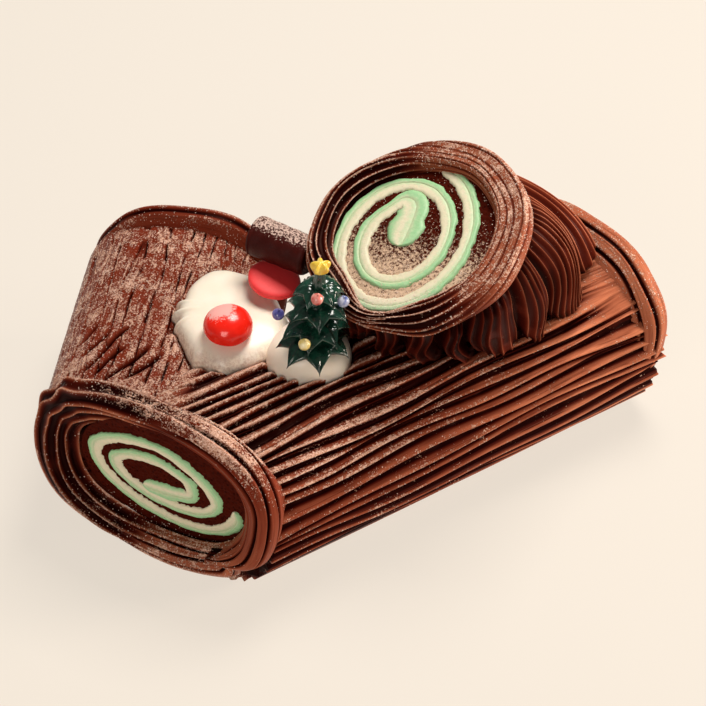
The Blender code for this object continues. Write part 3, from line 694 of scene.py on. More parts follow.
def stump_wall():
    ends = np.radians([fold[0] for fold in FOLDS])
    strokes = np.cumsum([fold[1] for fold in FOLDS])
    count = int(strokes[-1])
    table = np.linspace(0, 1, 40)

    def raw(share, angle):
        middle = FACE + (STUMP_FOOT - FACE) * share[..., None]
        spread = share ** 0.7
        c, s = np.cos(angle), np.sin(angle)
        neck = (FACE_ACROSS * c[..., None] + FACE_UP * s[..., None]) * 37.0
        foot = np.stack([c * 57.5, s * 34, 0 * c], axis=-1)
        reach = neck * (1 - spread[..., None]) + foot * spread[..., None]
        reach[..., 2] = neck[..., 2] * (1 - share)
        bulge = 1 + 0.085 * np.sin(np.pi * np.clip(share / 0.75, 0, 1)) * (1 + 0.5 * c)
        reach[..., :2] *= bulge[..., None]
        return middle + reach

    ring = np.linspace(0, TAU, 181)
    grid = raw(np.repeat(table[:, None], 181, 1), np.repeat(ring[None], 40, 0))
    above = grid[..., 2] > log_top(np.clip(grid[..., 1], -36, 36)) - 1
    landing = table[np.maximum(np.argmin(above, axis=0), 1)]
    landing = np.convolve(np.concatenate([landing[-7:-1], landing, landing[1:7]]), np.ones(13) / 13, "valid")

    def place_in_fold(lane):
        rank = np.clip(np.searchsorted(strokes, lane, "right") - 1, 0, len(ends) - 2)
        return rank, (lane - strokes[rank]) / (strokes[rank + 1] - strokes[rank])

    def surface(share, u):
        top = np.interp(u * count, strokes, ends)
        turn = np.interp(np.degrees(top), [-150, -111, -86, -54, -40, 5, 50, 210], [12, 13, 24, 31, 33, 50, 30, 12])
        swing = -np.radians(turn) * smooth(share, -0.15, 0.95) + 0.03 * np.sin(7 * share + 3 * top)
        angle = top + swing
        low = np.interp(angle % TAU, ring, landing)
        share = 0.05 + 0.95 * share
        points = raw(share * low, angle)
        centre = FACE + (STUMP_FOOT - FACE) * (share * low)[..., None]
        tuck = 1 - 0.15 * smooth(share, 0.84, 1.0) ** 1.5
        points[..., :2] = centre[..., :2] + (points[..., :2] - centre[..., :2]) * tuck[..., None]
        return points

    rng = np.random.default_rng(8)
    drop = rng.uniform(-0.01, 0.05, len(ends))

    def round_ends(share, lane):
        rank, place = place_in_fold(lane)
        return share * (1 - 0.19 * np.abs(2 * place - 1) ** 2.6 - drop[rank])

    points, crest, normal, lane = combed(surface, 72, count, 51, 1.5, scallop, 55, spread=0.12, uneven=0.25,
                                         wave=(35, 70), merge=0.35, out=-1, reshape=round_ends)
    rank, place = place_in_fold(lane)
    dome = (1 - np.abs(2 * place - 1) ** 2.2)[None, :]
    share = np.linspace(0, 1, 72)[:, None]
    late = np.array([fold[2] for fold in FOLDS])[rank + 1][None]
    risen = smooth(share, late, late + 0.20)
    points += normal * ((dome - 0.72) * 7.5 * risen - 3.5 * (late > 0) * (1 - risen))[..., None]
    # painted shade: the crest value that colours the wall is darkened at the fold edges, near the tucked foot and
    # where a late fold has not risen yet, as the shade there
    fold = (0.46 + 0.54 * crest ** 1.3) * (0.55 + 0.45 * smooth(dome, 0.0, 0.35))
    fold = fold * (1 - 0.55 * smooth(share, 0.86, 1.0)) * (0.3 + 0.7 * risen)
    points, fold, normal, lane = points[:, :-1], fold[:, :-1], normal[:, :-1], lane[:-1]
    dust = powder_on(points, normal, fold, 0.25) * smooth(-points[..., 0], -20, 20)
    # painted shade: the left part of the wall is darker, with weaker highlight lines
    left = 1 - smooth(points[..., 0], 8, 38)
    fold = fold * (0.90 - 0.28 * left)
    # painted highlight: light lines on the crests and lighter rounded fold tops near the collar
    tone_and_painted_light = 0.06 + 0.80 * smooth(crest[:, :-1], 0.72, 0.97) * (1 - 0.7 * left) + 0.40 * smooth(dome[:, :-1], 0.6, 1) * (1 - smooth(share, 0.05, 0.35))
    frosting("stump_wall", points, fold, lane, 55, dust, ["stump_frosting"], tone_and_painted_light=tone_and_painted_light)


coats()
stump_wall()


# ------------------------------------------------------------------ collars
def piped_ring(name, controls, count, seed, depth, stations, replaces, dust_of, tone_and_painted_light_of, length,
               start, sweep, shape, spread=0.10, out=1, warp=None, soft=0.22):
    """A ribbed ribbon laid round a cut. It starts and ends at one place, the end over the start."""
    place = np.linspace(0, 1, 81)

    def surface(share, u):
        table = spline(controls(start + sweep * share[:, 0], share[:, 0]), 81)
        made = np.empty(share.shape + (3,))
        for i in range(share.shape[0]):
            arc = np.concatenate([[0], np.cumsum(np.linalg.norm(np.diff(table[i], axis=0), axis=-1))])
            where = np.interp(u[i], arc / arc[-1], place)
            for axis in range(3):
                made[i, :, axis] = np.interp(where, place, table[i, :, axis])
        return made

    points, crest, normal, lane = combed(surface, stations, count, seed, depth, shape, length, uneven=0.22,
                                         spread=spread, wave=(45, 110), merge=0.25, out=out, warp=warp)
    angle = start + sweep * np.linspace(0, 1, stations)[:, None] + 0 * crest
    dust = dust_of(points, normal, crest, angle)
    crest = soft + (1 - soft) * crest ** 1.25
    crest[[0, -1]] = np.maximum(crest[[0, -1]], 0.55)
    frosting(name, points, crest, lane, length, dust, replaces, tone_and_painted_light=tone_and_painted_light_of(points, crest, angle))
    return points


def front_collar():
    slanted = unit(np.array([SHOW_SLANT, 1.0, 0.0]))
    stretch = np.hypot(SHOW_SLANT, 1.0)
    outwards = unit(np.array([-1.0, SHOW_SLANT, 0.0]))
    radius = np.array([47.6 * stretch, 39.7])
    centre = np.array([SHOW_X - SHOW_SLANT * -5, 5.0, 40.4])
    start, sweep = radians(218), TAU + radians(14)

    def controls(angle, share):
        ending = smooth(share, 0.90, 1.0)
        first = 1 - smooth(share, 0.0, 0.035)
        closing = 1 - 0.88 * smooth(share, 0.92, 1.0) ** 1.3
        hook = 5.0 * ending ** 1.6
        left = smooth(np.cos(angle), 0.1, 0.8)
        rows = [(2.4, -7.0), (0.6, -2.0), (0.0, 3.0), (2.2 - 0.6 * left, 7.4), (5.6 - 2.2 * left, 9.0 - 0.4 * left),
                (9.2 - 2.6 * left, 7.8 - 0.6 * left), (11.8 - 1.6 * left, 4.8), (13.4, 2.2), (14.6, -1.5)]
        top = smooth(np.sin(angle), 0.1, 0.9)
        low = smooth(-np.sin(angle), 0.0, 0.8)
        jut = 2.0 * near_angle(angle, 24, 7) + 2.2 * near_angle(angle, 43, 6)
        out = []
        for k, (inset, rise) in enumerate(rows):
            middle = 7.5
            shrink = closing * (1 - 0.55 * first * (k < 5))
            inset = middle + (inset - middle) * shrink + hook + 0 * angle
            rise = 5.0 + (rise - 5.0) * (0.35 + 0.65 * shrink) + 4.0 * ending
            if k == 0:
                inset = inset + top * 7.0 * (1 - ending)
            if k in (1, 2):
                inset = inset - jut
            if k >= 6:
                inset = inset + top * (1.5 + 2.4 * (k - 6)) - low * (0.6 * (k - 6))
            u, v = power_circle(angle, radius[0] - inset * stretch, radius[1] - inset, 2.3)
            wobble = 1 + (0.010 * np.sin(3 * angle + 0.7) + 0.007 * np.sin(7 * angle)) * (k < 6)
            rise = rise + show_lean(centre[2] + v)
            out.append(centre + (u * wobble)[:, None] * slanted + (v * wobble)[:, None] * Z_UP
                       + rise[:, None] * outwards)
        out = np.stack(out, axis=1)
        out[..., 2] = np.maximum(out[..., 2], 0.3)
        return out

    def shape(p, thin, share):
        angle = start + sweep * share
        hollow = smooth(np.cos(angle - radians(8)), -0.35, 0.35)
        return scallop(p, thin, share) * hollow + flat_band(p, thin, share) * (1 - hollow)

    def dust_of(points, normal, crest, angle):
        low = smooth(-np.sin(angle), 0.25, 0.75)
        shoulder = near_angle(angle, 110, 36)
        right = near_angle(angle, 190, 30)
        amount = 0.34 + 0.90 * shoulder + 0.40 * low - 0.34 * right
        powder = powder_on(points, normal, crest, amount)
        powder = np.maximum(powder, amount * 0.75 * low * (0.3 + 0.7 * crest))
        powder = np.maximum(powder, 0.72 * near_angle(angle, 100, 45) * smooth(normal[..., 2], 0.3, 0.9))
        return powder + 0.42 * smooth(crest, 0.50, 0.9) * smooth(np.cos(angle), -0.3, 0.3)

    # painted light: light lines on the left crests, lighter bottom bands against their shade and lighter bands at the
    # right, where the light falls
    def tone_and_painted_light_of(points, crest, angle):
        low = smooth(-np.sin(angle), 0.25, 0.75)
        line = smooth(crest, 0.50, 0.9) * smooth(np.cos(angle), -0.3, 0.3)
        return 0.06 + 0.22 * near_angle(angle, 196, 40) + 0.40 * low + 0.80 * line

    piped_ring("front_collar_piped", controls, 7, 71, 2.3, 300, ["front_collar"], dust_of, tone_and_painted_light_of, 290,
               start, sweep, shape, out=1)


def far_collar(name, node, centre, across, outwards, radii, rows, seed, count, dust, tone_and_painted_light):
    def controls(angle, share):
        ending = smooth(share, 0.93, 1.0)
        out = []
        for k, (inset, rise) in enumerate(rows):
            inset = inset + 3.0 * ending + 0 * angle
            u, v = power_circle(angle, radii[0] - inset, radii[1] - inset, 2.3)
            wobble = 1 + 0.012 * np.sin(3 * angle + seed) + 0.010 * np.sin(7 * angle)
            out.append(centre + (u * wobble)[:, None] * across + (v * wobble)[:, None] * Z_UP
                       + (rise + 1.2 * ending)[:, None] * outwards)
        out = np.stack(out, axis=1)
        out[..., 2] = np.maximum(out[..., 2], 0.3)
        return out

    piped_ring(name, controls, count, seed, 1.6, 200, [node],
               lambda p, n, c, a: powder_on(p, n, c, dust, 0.45), lambda p, c, a: tone_and_painted_light + 0 * c, 240,
               radians(250), TAU + radians(12), flat_band, out=-1)


def end_collars():
    slanted = unit(np.array([LOG_END_SLANT, 1.0, 0.0]))
    outwards = unit(np.array([1.0, -LOG_END_SLANT, 0.0]))
    rows = [(8.0, -10.5), (2.4, -6.5), (-0.9, -2.0), (-1.4, 2.2), (-0.2, 5.2), (3.0, 6.4), (6.2, 4.4),
            (7.6, 1.0), (8.8, -3.0)]
    # painted light: the end collar's crests are lifted far towards peach as the lit far end, partly the cream's tone;
    # the branch collar's only a little
    far_collar("end_collar_piped", "end_collar", np.array([LOG_END + 0.3, 0, 40.6]), slanted, outwards,
               (41.0, 40.0), rows, 81, 5, 0.48, 0.75)
    along = np.array([np.cos(BRANCH_HEADING), np.sin(BRANCH_HEADING), 0])
    across = np.array([-np.sin(BRANCH_HEADING), np.cos(BRANCH_HEADING), 0])
    centre = np.array([APEX_X, 0, 38.6]) + along * (BRANCH_LENGTH + 0.3) - across * 4
    rows = [(8.5, -2.6), (3.0, -1.6), (-0.6, 0.4), (-1.2, 2.8), (0.6, 6.2), (3.6, 7.4), (6.2, 5.0),
            (7.4, 1.4), (9.4, -3.0)]
    far_collar("branch_collar_piped", "branch_collar", centre, across, along, (41.2, 38.0), rows, 91, 3,
               0.62, 0.14)


def stump_collar():
    start, sweep = radians(208), TAU + radians(12)

    def lip(angle):
        """How much of the ribbon is the broad lip, at the right of the face."""
        return smooth(np.cos(angle + radians(20)), -0.30, 0.75)

    def controls(angle, share):
        ending = smooth(share, 0.86, 1.0)
        first = 1 - smooth(share, 0.0, 0.10)
        wide = lip(angle)
        radius = 43.6 + 2.2 * near_angle(angle, 100, 28) - 1.8 * near_angle(angle, 176, 24)
        radius = radius + 2.0 * near_angle(angle, 208, 14)
        rows = [(7.5, -8.5), (1.8, -7.0), (-0.6 - 1.6 * wide, -3.6 + 1.0 * wide), (0.2 - 1.2 * wide, 1.6 + 1.8 * wide),
                (3.2 + 0.2 * wide, 5.8 - 2.4 * wide), (6.6, 7.4 - 3.2 * wide), (9.6, 5.6 - 1.2 * wide), (11.4, 2.0), (12.4, -2.0)]
        out = []
        for k, (inset, rise) in enumerate(rows):
            inset = 5 + (inset - 5) * (1 - 0.72 * ending - 0.6 * first) + 0 * angle
            rise = rise * (1 - 0.4 * first - 0.3 * ending) + 1.2 * ending + 0 * angle
            wobble = 1 + 0.010 * np.sin(3 * angle + 0.4) + 0.006 * np.sin(8 * angle)
            u, v = power_circle(angle, (radius - inset) * wobble, (radius - inset - 0.5) * wobble, 2.05)
            out.append(FACE + u[:, None] * FACE_ACROSS + v[:, None] * FACE_UP + rise[:, None] * FACE_NORMAL)
        return np.stack(out, axis=1)

    def warp(share, edges):
        return edges ** (1 - 0.42 * lip(start + sweep * share))

    def shape(p, thin, share):
        hollow = 1 - lip(start + sweep * share)
        return scallop(p, thin, share) * hollow + (0.62 + 0.38 * flat_band(p, thin, share)) * (1 - hollow)

    def dust_of(points, normal, crest, angle):
        side = near_angle(angle, 205, 38)
        amount = 0.34 + 0.55 * side + 0.36 * lip(angle)
        return powder_on(points, normal, crest, amount) + 0.58 * smooth(crest, 0.45, 0.85) * (1 - lip(angle))

    # painted light: the broad lip a little lighter as lit from above, and light highlight lines on the crests
    # elsewhere
    def tone_and_painted_light_of(points, crest, angle):
        return 0.08 + 0.16 * lip(angle) + 0.80 * smooth(crest, 0.45, 0.85) * (1 - 0.75 * lip(angle))

    piped_ring("stump_collar_piped", controls, 9, 61, 1.7, 300, ["stump_collar"], dust_of, tone_and_painted_light_of, 270,
               start, sweep, shape, out=-1, warp=warp, soft=0.08)


# ------------------------------------------------------------------ wound rolls
class Swirl:
    """The light band of a wound roll on its cut: a core, then windings round it."""

    def __init__(self, centre, turn_sign, start, wide, high, tilt, powers, turns, core, core_half, half):
        self.centre, self.turn_sign, self.start = np.array(centre), turn_sign, start
        self.wide, self.high, self.tilt, self.powers = wide, high, tilt, powers
        t = np.arange(0.10, turns, 0.05)
        path = np.concatenate([np.array(core), self.wound(t)])
        step = np.linalg.norm(np.diff(path, axis=0), axis=-1)
        path3 = np.concatenate([path, np.zeros((len(path), 1))], axis=-1)
        self.line = spline(path3, 900)[:, :2]
        arc = np.concatenate([[0], np.cumsum(np.linalg.norm(np.diff(self.line, axis=0), axis=-1))])
        count = 520
        even = np.linspace(0, arc[-1], count)
        self.line = np.stack([np.interp(even, arc, self.line[:, k]) for k in range(2)], axis=-1)
        for _ in range(6):
            self.line[1:-1] = (self.line[:-2] + 2 * self.line[1:-1] + self.line[2:]) / 4
        along = unit(np.gradient(self.line, axis=0))
        self.outward = np.stack([along[:, 1], -along[:, 0]], axis=-1) * turn_sign
        self.arc = even
        core_length = np.sum(step[:len(core) - 1])
        inside = smooth(core_length - even, -2, 4)
        self.core_share = inside
        self.half = half + (core_half - half) * inside
        rounded = np.sqrt(np.clip(even / (core_half * 1.1), 0, 1) * (2 - np.clip(even / (core_half * 1.1), 0, 1)))
        ending = np.sqrt(np.clip((arc[-1] - even) / 4.0, 0, 1))
        self.half = self.half * np.maximum(rounded, 0.04) * np.maximum(ending, 0.15)
        self.half *= 1 + 0.10 * waves(3, even, (9, 17, 40), 1)[0]

    def wound(self, t):
        angle = self.start + self.turn_sign * TAU * t
        wide = self.wide[0] + self.wide[1] * t
        high = self.high[0] + self.high[1] * t
        top = power_circle(angle, wide, high, self.powers[0])
        low = power_circle(angle, wide, high, self.powers[1])
        upper = np.sin(angle) > 0
        x, y = np.where(upper, top[0], low[0]), np.where(upper, top[1], low[1])
        tilt = self.tilt[0] + self.tilt[1] * t
        return self.centre + np.stack([x * np.cos(tilt) - y * np.sin(tilt),
                                       x * np.sin(tilt) + y * np.cos(tilt)], axis=-1)


def band_piece(name, swirl, low, high, place, relief, look, replaces, blend_of, dust_of,
               both_cuts=True):
    """A band between two shares of the light band's half width, run from cut to cut."""
    inside = 9
    s = np.linspace(low, high, inside)
    offsets = s[None, :] * swirl.half[:, None]
    flat = swirl.line[:, None] + swirl.outward[:, None] * offsets[..., None]
    rim = np.abs(2 * (s - low) / (high - low) - 1)
    rng = np.random.default_rng(len(name))
    ragged = waves(7, swirl.arc, (2.2, 3.7, 6.0), 2) * 0.16
    flat[:, 0] += swirl.outward * ragged[0][:, None]
    flat[:, -1] += swirl.outward * ragged[1][:, None]
    rise = relief * (1 - rim ** 4)[None] * (1 + 0.25 * rng.standard_normal((flat.shape[0], inside)) * 0.3)
    front = place(0, flat[..., 0], flat[..., 1], rise)
    back = place(1, flat[..., 0], flat[..., 1], rise if both_cuts else 0 * rise)[:, ::-1]
    rows = np.concatenate([front, back], axis=1)
    blend = blend_of(s)[None] + swirl.core_share[:, None] * smooth(-s, 0.30, 0.85)[None]
    blend = np.concatenate([blend, blend[:, ::-1]], axis=1)
    dust = np.concatenate([dust_of(flat), np.zeros((len(rows), inside))], axis=1)
    tube_piece(name, rows, look, replaces, {"blend": blend, "dust": dust})
    sprinkle(rows, grid_faces(len(rows), rows.shape[1], False, True), dust)


def sponge_piece(name, radii, power, place, replaces, dust_of, both_cuts=True, rings=96, around=260):
    """The sponge between two cuts, its cut faces crumbly."""
    r = np.linspace(0.01, 1, rings)
    a = np.linspace(0, TAU, around, endpoint=False)
    u, v = power_circle(a, radii[0], radii[1], power)
    u, v = r[:, None] * u[None], r[:, None] * v[None]
    crumb = np.array([[noise.noise(Vector((x, y, 1.3)) * 0.75) * 0.5 + noise.noise(Vector((x, y, 7)) * 1.9) * 0.35
                       + abs(noise.noise(Vector((x, y, 4)) * 0.9)) * -0.5
                       for x, y in zip(row_u, row_v)] for row_u, row_v in zip(u, v)])
    crumb = crumb * 0.9 * (1 - smooth(r, 0.86, 1.0))[:, None]
    front = place(0, u, v, crumb)
    back = place(1, u, v, crumb if both_cuts else 0 * crumb)[::-1]
    rows = np.concatenate([front, back])
    dust = np.concatenate([dust_of(u, v), np.zeros_like(u)])
    tube_piece(name, rows, SPONGE, replaces, {"dust": dust})
    sprinkle(rows, grid_faces(len(rows), around, False, True), dust)


def roll(prefix, swirl, radii, place, dust_band, dust_sponge, both_cuts=True, split=0.12, relief=0.7):
    cream_blend = lambda s: np.clip((s - split + 0.35) / 0.6, 0, 0.55)
    mint_blend = lambda s: np.clip((split + 0.45 - s) / 0.6, 0, 0.55)
    band_piece(prefix + "_cream_band", swirl, -1.0, split + 0.25, place, relief, CREAM,
               [prefix + "_cream"], cream_blend, dust_band, both_cuts)
    band_piece(prefix + "_mint_band", swirl, split, 1.0, place, relief + 0.12, MINT,
               [prefix + "_mint"], mint_blend, dust_band, both_cuts)
    sponge_piece(prefix + "_sponge_crumb", radii, 2.1, place, [prefix + "_sponge"], dust_sponge, both_cuts)


def place_in_log(end, u, v, out):
    if end == 0:
        x = SHOW_X - 4.4 + SHOW_SLANT * u - out
    else:
        x = LOG_END - 4.0 + LOG_END_SLANT * u + out
    return np.stack([x, u, ROLL_Z + v], axis=-1)


def place_in_branch(end, u, v, out):
    c, s = np.cos(BRANCH_HEADING), np.sin(BRANCH_HEADING)
    if end == 0:
        reach = 64 - 0.45 * u + 0 * out
    else:
        reach = BRANCH_LENGTH - 4.0 + out + 0 * u
    return np.stack([APEX_X + reach * c - u * s, reach * s + u * c, ROLL_Z - 1 + v], axis=-1)


def place_in_stump(end, u, v, out):
    top = FACE + u[..., None] * FACE_ACROSS + v[..., None] * FACE_UP + (out - 0.8)[..., None] * FACE_NORMAL
    lean = unit(np.array([26, FACE[1], 77]) - FACE)
    if end == 0:
        return top
    return top + lean * ((top[..., 2:] - 77) / -lean[2])


def rolls():
    front = Swirl((2.6, 0.9), -1, np.pi, (13.9, 8.1), (6.8, 7.8), (radians(2), radians(6)), (1.65, 2.05),
                  2.08, [(9.6, -6.3), (5.0, -6.2), (0.4, -5.7), (-5.0, -4.3), (-9.6, -2.2)], 3.9, 2.6)
    none = lambda flat: 0 * flat[..., 0]
    roll("log", front, (34.4, 28.4), place_in_log, none,
         lambda u, v: 0.35 * smooth(-v, 10, 28))

    side = Swirl((-1.5, 1.0), 1, 0.4, (11.0, 9.0), (7.5, 8.0), (0.0, 0.1), (2.0, 2.0), 2.3,
                 [(-9.0, -4.0), (-3.0, -3.0), (4.0, -1.0), (8.0, 1.5)], 3.8, 2.6)
    roll("branch", side, (34.4, 28.4), place_in_branch, none, lambda u, v: 0 * u)

    stump = Swirl((-4.8, 5.25), 1, 0.0, (15.1, 10.6), (12.45, 9.0), (radians(40), 0.0), (2.0, 2.0), 1.98,
                  [(-7.2, 2.0), (-2.6, 5.4), (2.2, 8.8), (6.8, 12.0), (8.6, 15.6), (6.6, 19.2)], 6.7, 3.2)
    band_dust = lambda flat: 0.62 * smooth(-flat[..., 0] - 0.8 * flat[..., 1], 12, 40)
    sponge_dust = lambda u, v: 0.32 + 0.36 * smooth(-u - 0.6 * v, -25, 30)
    roll("stump", stump, (32.4, 30.4), place_in_stump, band_dust, sponge_dust, both_cuts=False)


front_collar()
end_collars()
stump_collar()
rolls()


# ------------------------------------------------------------------ icing and candies
def poured(name, centre, outline, level, dome, node, dust_of, rings=70, around=240, skin=2.2):
    """Icing that lies over the combed coat: outline(angle) is its edge, level its flat height."""
    angle = np.linspace(0, TAU, around, endpoint=False)
    r = 1 - (1 - np.linspace(0.004, 1, rings)) ** 1.6
    reach = r[:, None] * outline(angle)[None]
    x, y = centre[0] + reach * np.cos(angle), centre[1] + reach * np.sin(angle)
    under = np.maximum(coat_top(x, y), 64)
    high = np.maximum(level + dome * (1 - r[:, None] ** 2), under + skin * (1 - 0.5 * r[:, None] ** 2))
    rolled = np.sqrt(np.clip(1 - r[:, None] ** 7, 0, 1))
    edge = under - 2.6
    swell = 0.35 * np.sin(x * 0.35 + 1) * np.sin(y * 0.28) * (1 - r[:, None] ** 4)
    z = edge + (high + swell - edge) * rolled
    rows = np.stack([x, y, z], axis=-1)
    below = np.stack([x, y, np.minimum(under - 5.0, z - 2.0)], axis=-1)[::-1]
    rows = np.concatenate([rows, below])
    dust = dust_of(x, y, r[:, None] + 0 * x)
    dust = np.concatenate([dust, 0 * dust])
    tube_piece(name, rows, ICING, [node], {"dust": dust})


def icings():
    poured("white_icing_pool", POOL, pool_reach, 75.2, 1.2, "icing_puddle",
           lambda x, y, r: smooth(r, 0.82, 1.0) * 0.45)
    poured("tree_base_icing", TREE_ICING, tree_icing_reach, 77.4, 4.0, "tree_icing",
           lambda x, y, r: 0 * x, skin=4.2)


def turned(centre, axis, profile, around, uneven=None):
    """Rows round an axis from (radius, height) pairs."""
    turn = np.array(Vector((0, 0, 1)).rotation_difference(Vector(axis).normalized()).to_matrix())
    angle = np.linspace(0, TAU, around, endpoint=False)
    rows = []
    for radius, height in profile:
        reach = radius * (1 + (uneven(angle, height) if uneven else 0 * angle))
        flat = np.stack([np.cos(angle) * reach, np.sin(angle) * reach, np.full(around, height)], axis=-1)
        rows.append(flat @ turn.T + centre)
    return np.array(rows)


def button_profile(radius, height, belly, power, steps):
    """A lens-like button: underside, belly and dome in one smooth outline."""
    out = [(radius * 0.02, 0.0), (radius * 0.5, 0.02)]
    for k in range(steps):
        a = -np.pi / 2 * 0.72 + (np.pi / 2 * 1.72) * k / (steps - 1)
        c, s = power_circle(a, 1.0, 1.0, power)
        out.append((max(radius * c, radius * 0.012), belly + (s * (height - belly) if s > 0 else s * belly)))
    return out


def candies():
    centre = np.array([-64.0, 25.5, 77.2])
    rows = turned(centre, (-0.02, -0.06, 1), button_profile(9.7, 10.5, 2.5, 2.15, 46), 96,
                  lambda a, h: 0.012 * np.sin(3 * a + 1) + 0.006 * np.sin(7 * a + h))
    # the pale patch at the upper left of the candy: frost and a painted highlight
    frost_highlight_spot = np.array([-0.31, 0.95]) * 3.6
    away = np.hypot(rows[..., 0] - centre[0] - frost_highlight_spot[0], rows[..., 1] - centre[1] - frost_highlight_spot[1])
    frost_and_highlight = (1.15 - smooth(away, 2.0, 8.5)) * smooth(rows[..., 2], centre[2] + 4.5, centre[2] + 8.5)
    tube_piece("red_candy_button", rows, candy_look(), ["red_candy"], {"dust": frost_and_highlight})

    centre = np.array([-35.8, 38.8, 78.4])
    rows = turned(centre, (0.15, -0.12, 1), button_profile(10.6, 4.6, 2.2, 3.4, 40), 110,
                  lambda a, h: 0.008 * np.sin(4 * a) + 0.004 * np.sin(9 * a))
    tube_piece("red_sugar_disc", rows, sugar_paste_look(), ["red_disc"], {})

    half, radius = 12.75, 8.1
    profile = [(0.2, -half)]
    profile += [(radius * np.sqrt(k / 14) * 0.94, -half + 0.25 * np.sin(k * 1.9)) for k in range(1, 14)]
    profile += [(radius - 0.7, -half + 0.1), (radius - 0.2, -half + 0.5), (radius, -half + 1.2)]
    profile += [(radius + 0.10 * np.sin(k * 0.8), -half + 1.2 + (2 * half - 2.4) * k / 26) for k in range(27)]
    profile += [(r, -h) for r, h in profile[15::-1]]
    centre = np.array([-28.3, 43.7, 91.3])
    axis = unit(np.array([0.47, -0.88, -0.03]))
    rows = turned(centre, axis, profile, 90, lambda a, h: 0.015 * np.sin(2 * a + 0.1 * h) + 0.008 * np.sin(5 * a))
    radial = unit(rows - centre - ((rows - centre) @ axis)[..., None] * axis)
    frost_and_highlight = 0.60 * smooth(radial @ unit(np.array([0.15, 0.25, 0.95])), 0.45, 0.96)
    tube_piece("dark_chocolate_roll", rows, dark_chocolate_look(), ["chocolate_roll"],
               {"dust": frost_and_highlight})
    sprinkle(rows, grid_faces(len(rows), rows.shape[1], False, True), frost_and_highlight * 1.2)


# ------------------------------------------------------------------ fir tree
LEAF_RIB = np.array([(-1.0, 0.0), (-0.86, 0.62), (-0.62, 0.12), (-0.3, 0.0), (-0.1, 0.12), (0.0, 0.5),
                     (0.1, 0.12), (0.3, 0.0), (0.62, 0.12), (0.86, 0.62), (1.0, 0.0)])


def leaf(foot, heading, reach, drop, rise, half_width):
    """One pointed, ribbed leaf: leaves the stem upwards and droops to its tip. Closed tube rows."""
    out_dir = np.array([np.cos(heading), np.sin(heading), 0.0])
    side = np.array([-out_dir[1], out_dir[0], 0.0])
    a = np.linspace(0, 1, 18)
    line = (foot + out_dir * (reach * a ** 0.9)[:, None]
            + Z_UP * (rise * np.sin(a * np.pi * 0.62) - (drop + rise * 0.92) * a ** 1.7)[:, None])
    width = half_width * (0.30 + 1.05 * np.sin(np.pi * np.clip(a * 0.98 + 0.08, 0, 1)) ** 0.9) * (1 - a ** 5)
    width = np.maximum(width, 0.06)
    lift = unit(np.cross(np.gradient(line, axis=0), side)) * -1
    lift *= np.sign(lift[:, 2:3] + 1e-6)
    thick = np.minimum(0.85, width * 0.9)
    curl = 0.22
    top = (line[:, None] + side * (LEAF_RIB[None, :, 0] * width[:, None])[..., None]
           + lift[:, None] * ((LEAF_RIB[None, :, 1] - curl * width[:, None] * LEAF_RIB[None, :, 0] ** 2)
                              * np.minimum(1, width / 1.5)[:, None])[..., None])
    under = top[:, ::-1] - lift[:, None] * thick[:, None, None]
    return np.concatenate([top, under], axis=1)


TREE_FOOT = np.array([-43.4, -4.4, 82.0])


def tree_lean(points):
    """The tree leans a little to the near right."""
    share = np.clip((points[..., 2:] - TREE_FOOT[2]) / 40, 0, 1.2)
    return points + share * np.array([2.7, -1.5, 0])


def tree():
    points, faces, start = [], [], 0

    def add(rows):
        nonlocal start
        count, around = rows.shape[:2]
        points.append(rows.reshape(-1, 3))
        faces.append(grid_faces(count, around, False, True, start))
        faces.append(np.arange(around)[::-1] + start)
        faces.append(np.arange(around) + start + (count - 1) * around)
        start += count * around

    tiers = [(0.4, 15.4, 7, 4.2, 5.2, 4.1), (9.8, 14.4, 7, 3.8, 4.8, 4.0), (18.8, 12.6, 6, 3.8, 4.4, 3.8),
             (27.4, 10.0, 6, 3.6, 4.0, 3.2)]
    rng = np.random.default_rng(17)
    for k, (low, reach, count, drop, rise, half) in enumerate(tiers):
        for i in range(count):
            heading = TAU * (i + 0.5 * (k % 2)) / count + radians(302) + rng.uniform(-0.07, 0.07)
            foot = TREE_FOOT + np.array([0, 0, low + drop])
            add(leaf(foot, heading, reach * rng.uniform(0.94, 1.04), drop, rise, half))
    stem = [(5.6, 0.2), (5.0, 6.0), (4.6, 12.0), (3.8, 20.0), (3.0, 28.0), (2.3, 35.0), (1.5, 39.5), (0.5, 41.0)]
    add(turned(TREE_FOOT, (0, 0, 1), stem, 28, lambda a, h: 0.10 * np.cos(7 * a)))
    fir = plastic_look("fir_plastic_look", (0.003, 0.020, 0.013), (0.009, 0.055, 0.034), 0.18)
    build("fir_tree_leaves", tree_lean(np.concatenate(points)), faces, fir, ["fir_tree"])

    top = TREE_FOOT + np.array([0, 0, 38.9])
    rings, around = 18, 60
    angle = np.linspace(0, TAU, around, endpoint=False)
    rows = []
    for a in np.linspace(-np.pi / 2 + 0.02, np.pi / 2 - 0.02, rings):
        petals = 1 + 0.24 * np.cos(5 * angle + 0.6) * np.cos(a)
        reach = 3.3 * np.cos(a) ** 0.8 * petals
        rows.append(np.stack([np.cos(angle) * reach, np.sin(angle) * reach,
                              2.6 + 2.5 * np.sin(a) + 0.5 * np.cos(5 * angle + 0.6) * np.cos(a)], axis=-1) + top)
    tube_piece("tree_top_star", tree_lean(np.array(rows)), plastic_look("yellow_plastic_look", (0.72, 0.40, 0.02),
               (0.90, 0.66, 0.08), 0.35), ["tree_star"], {})


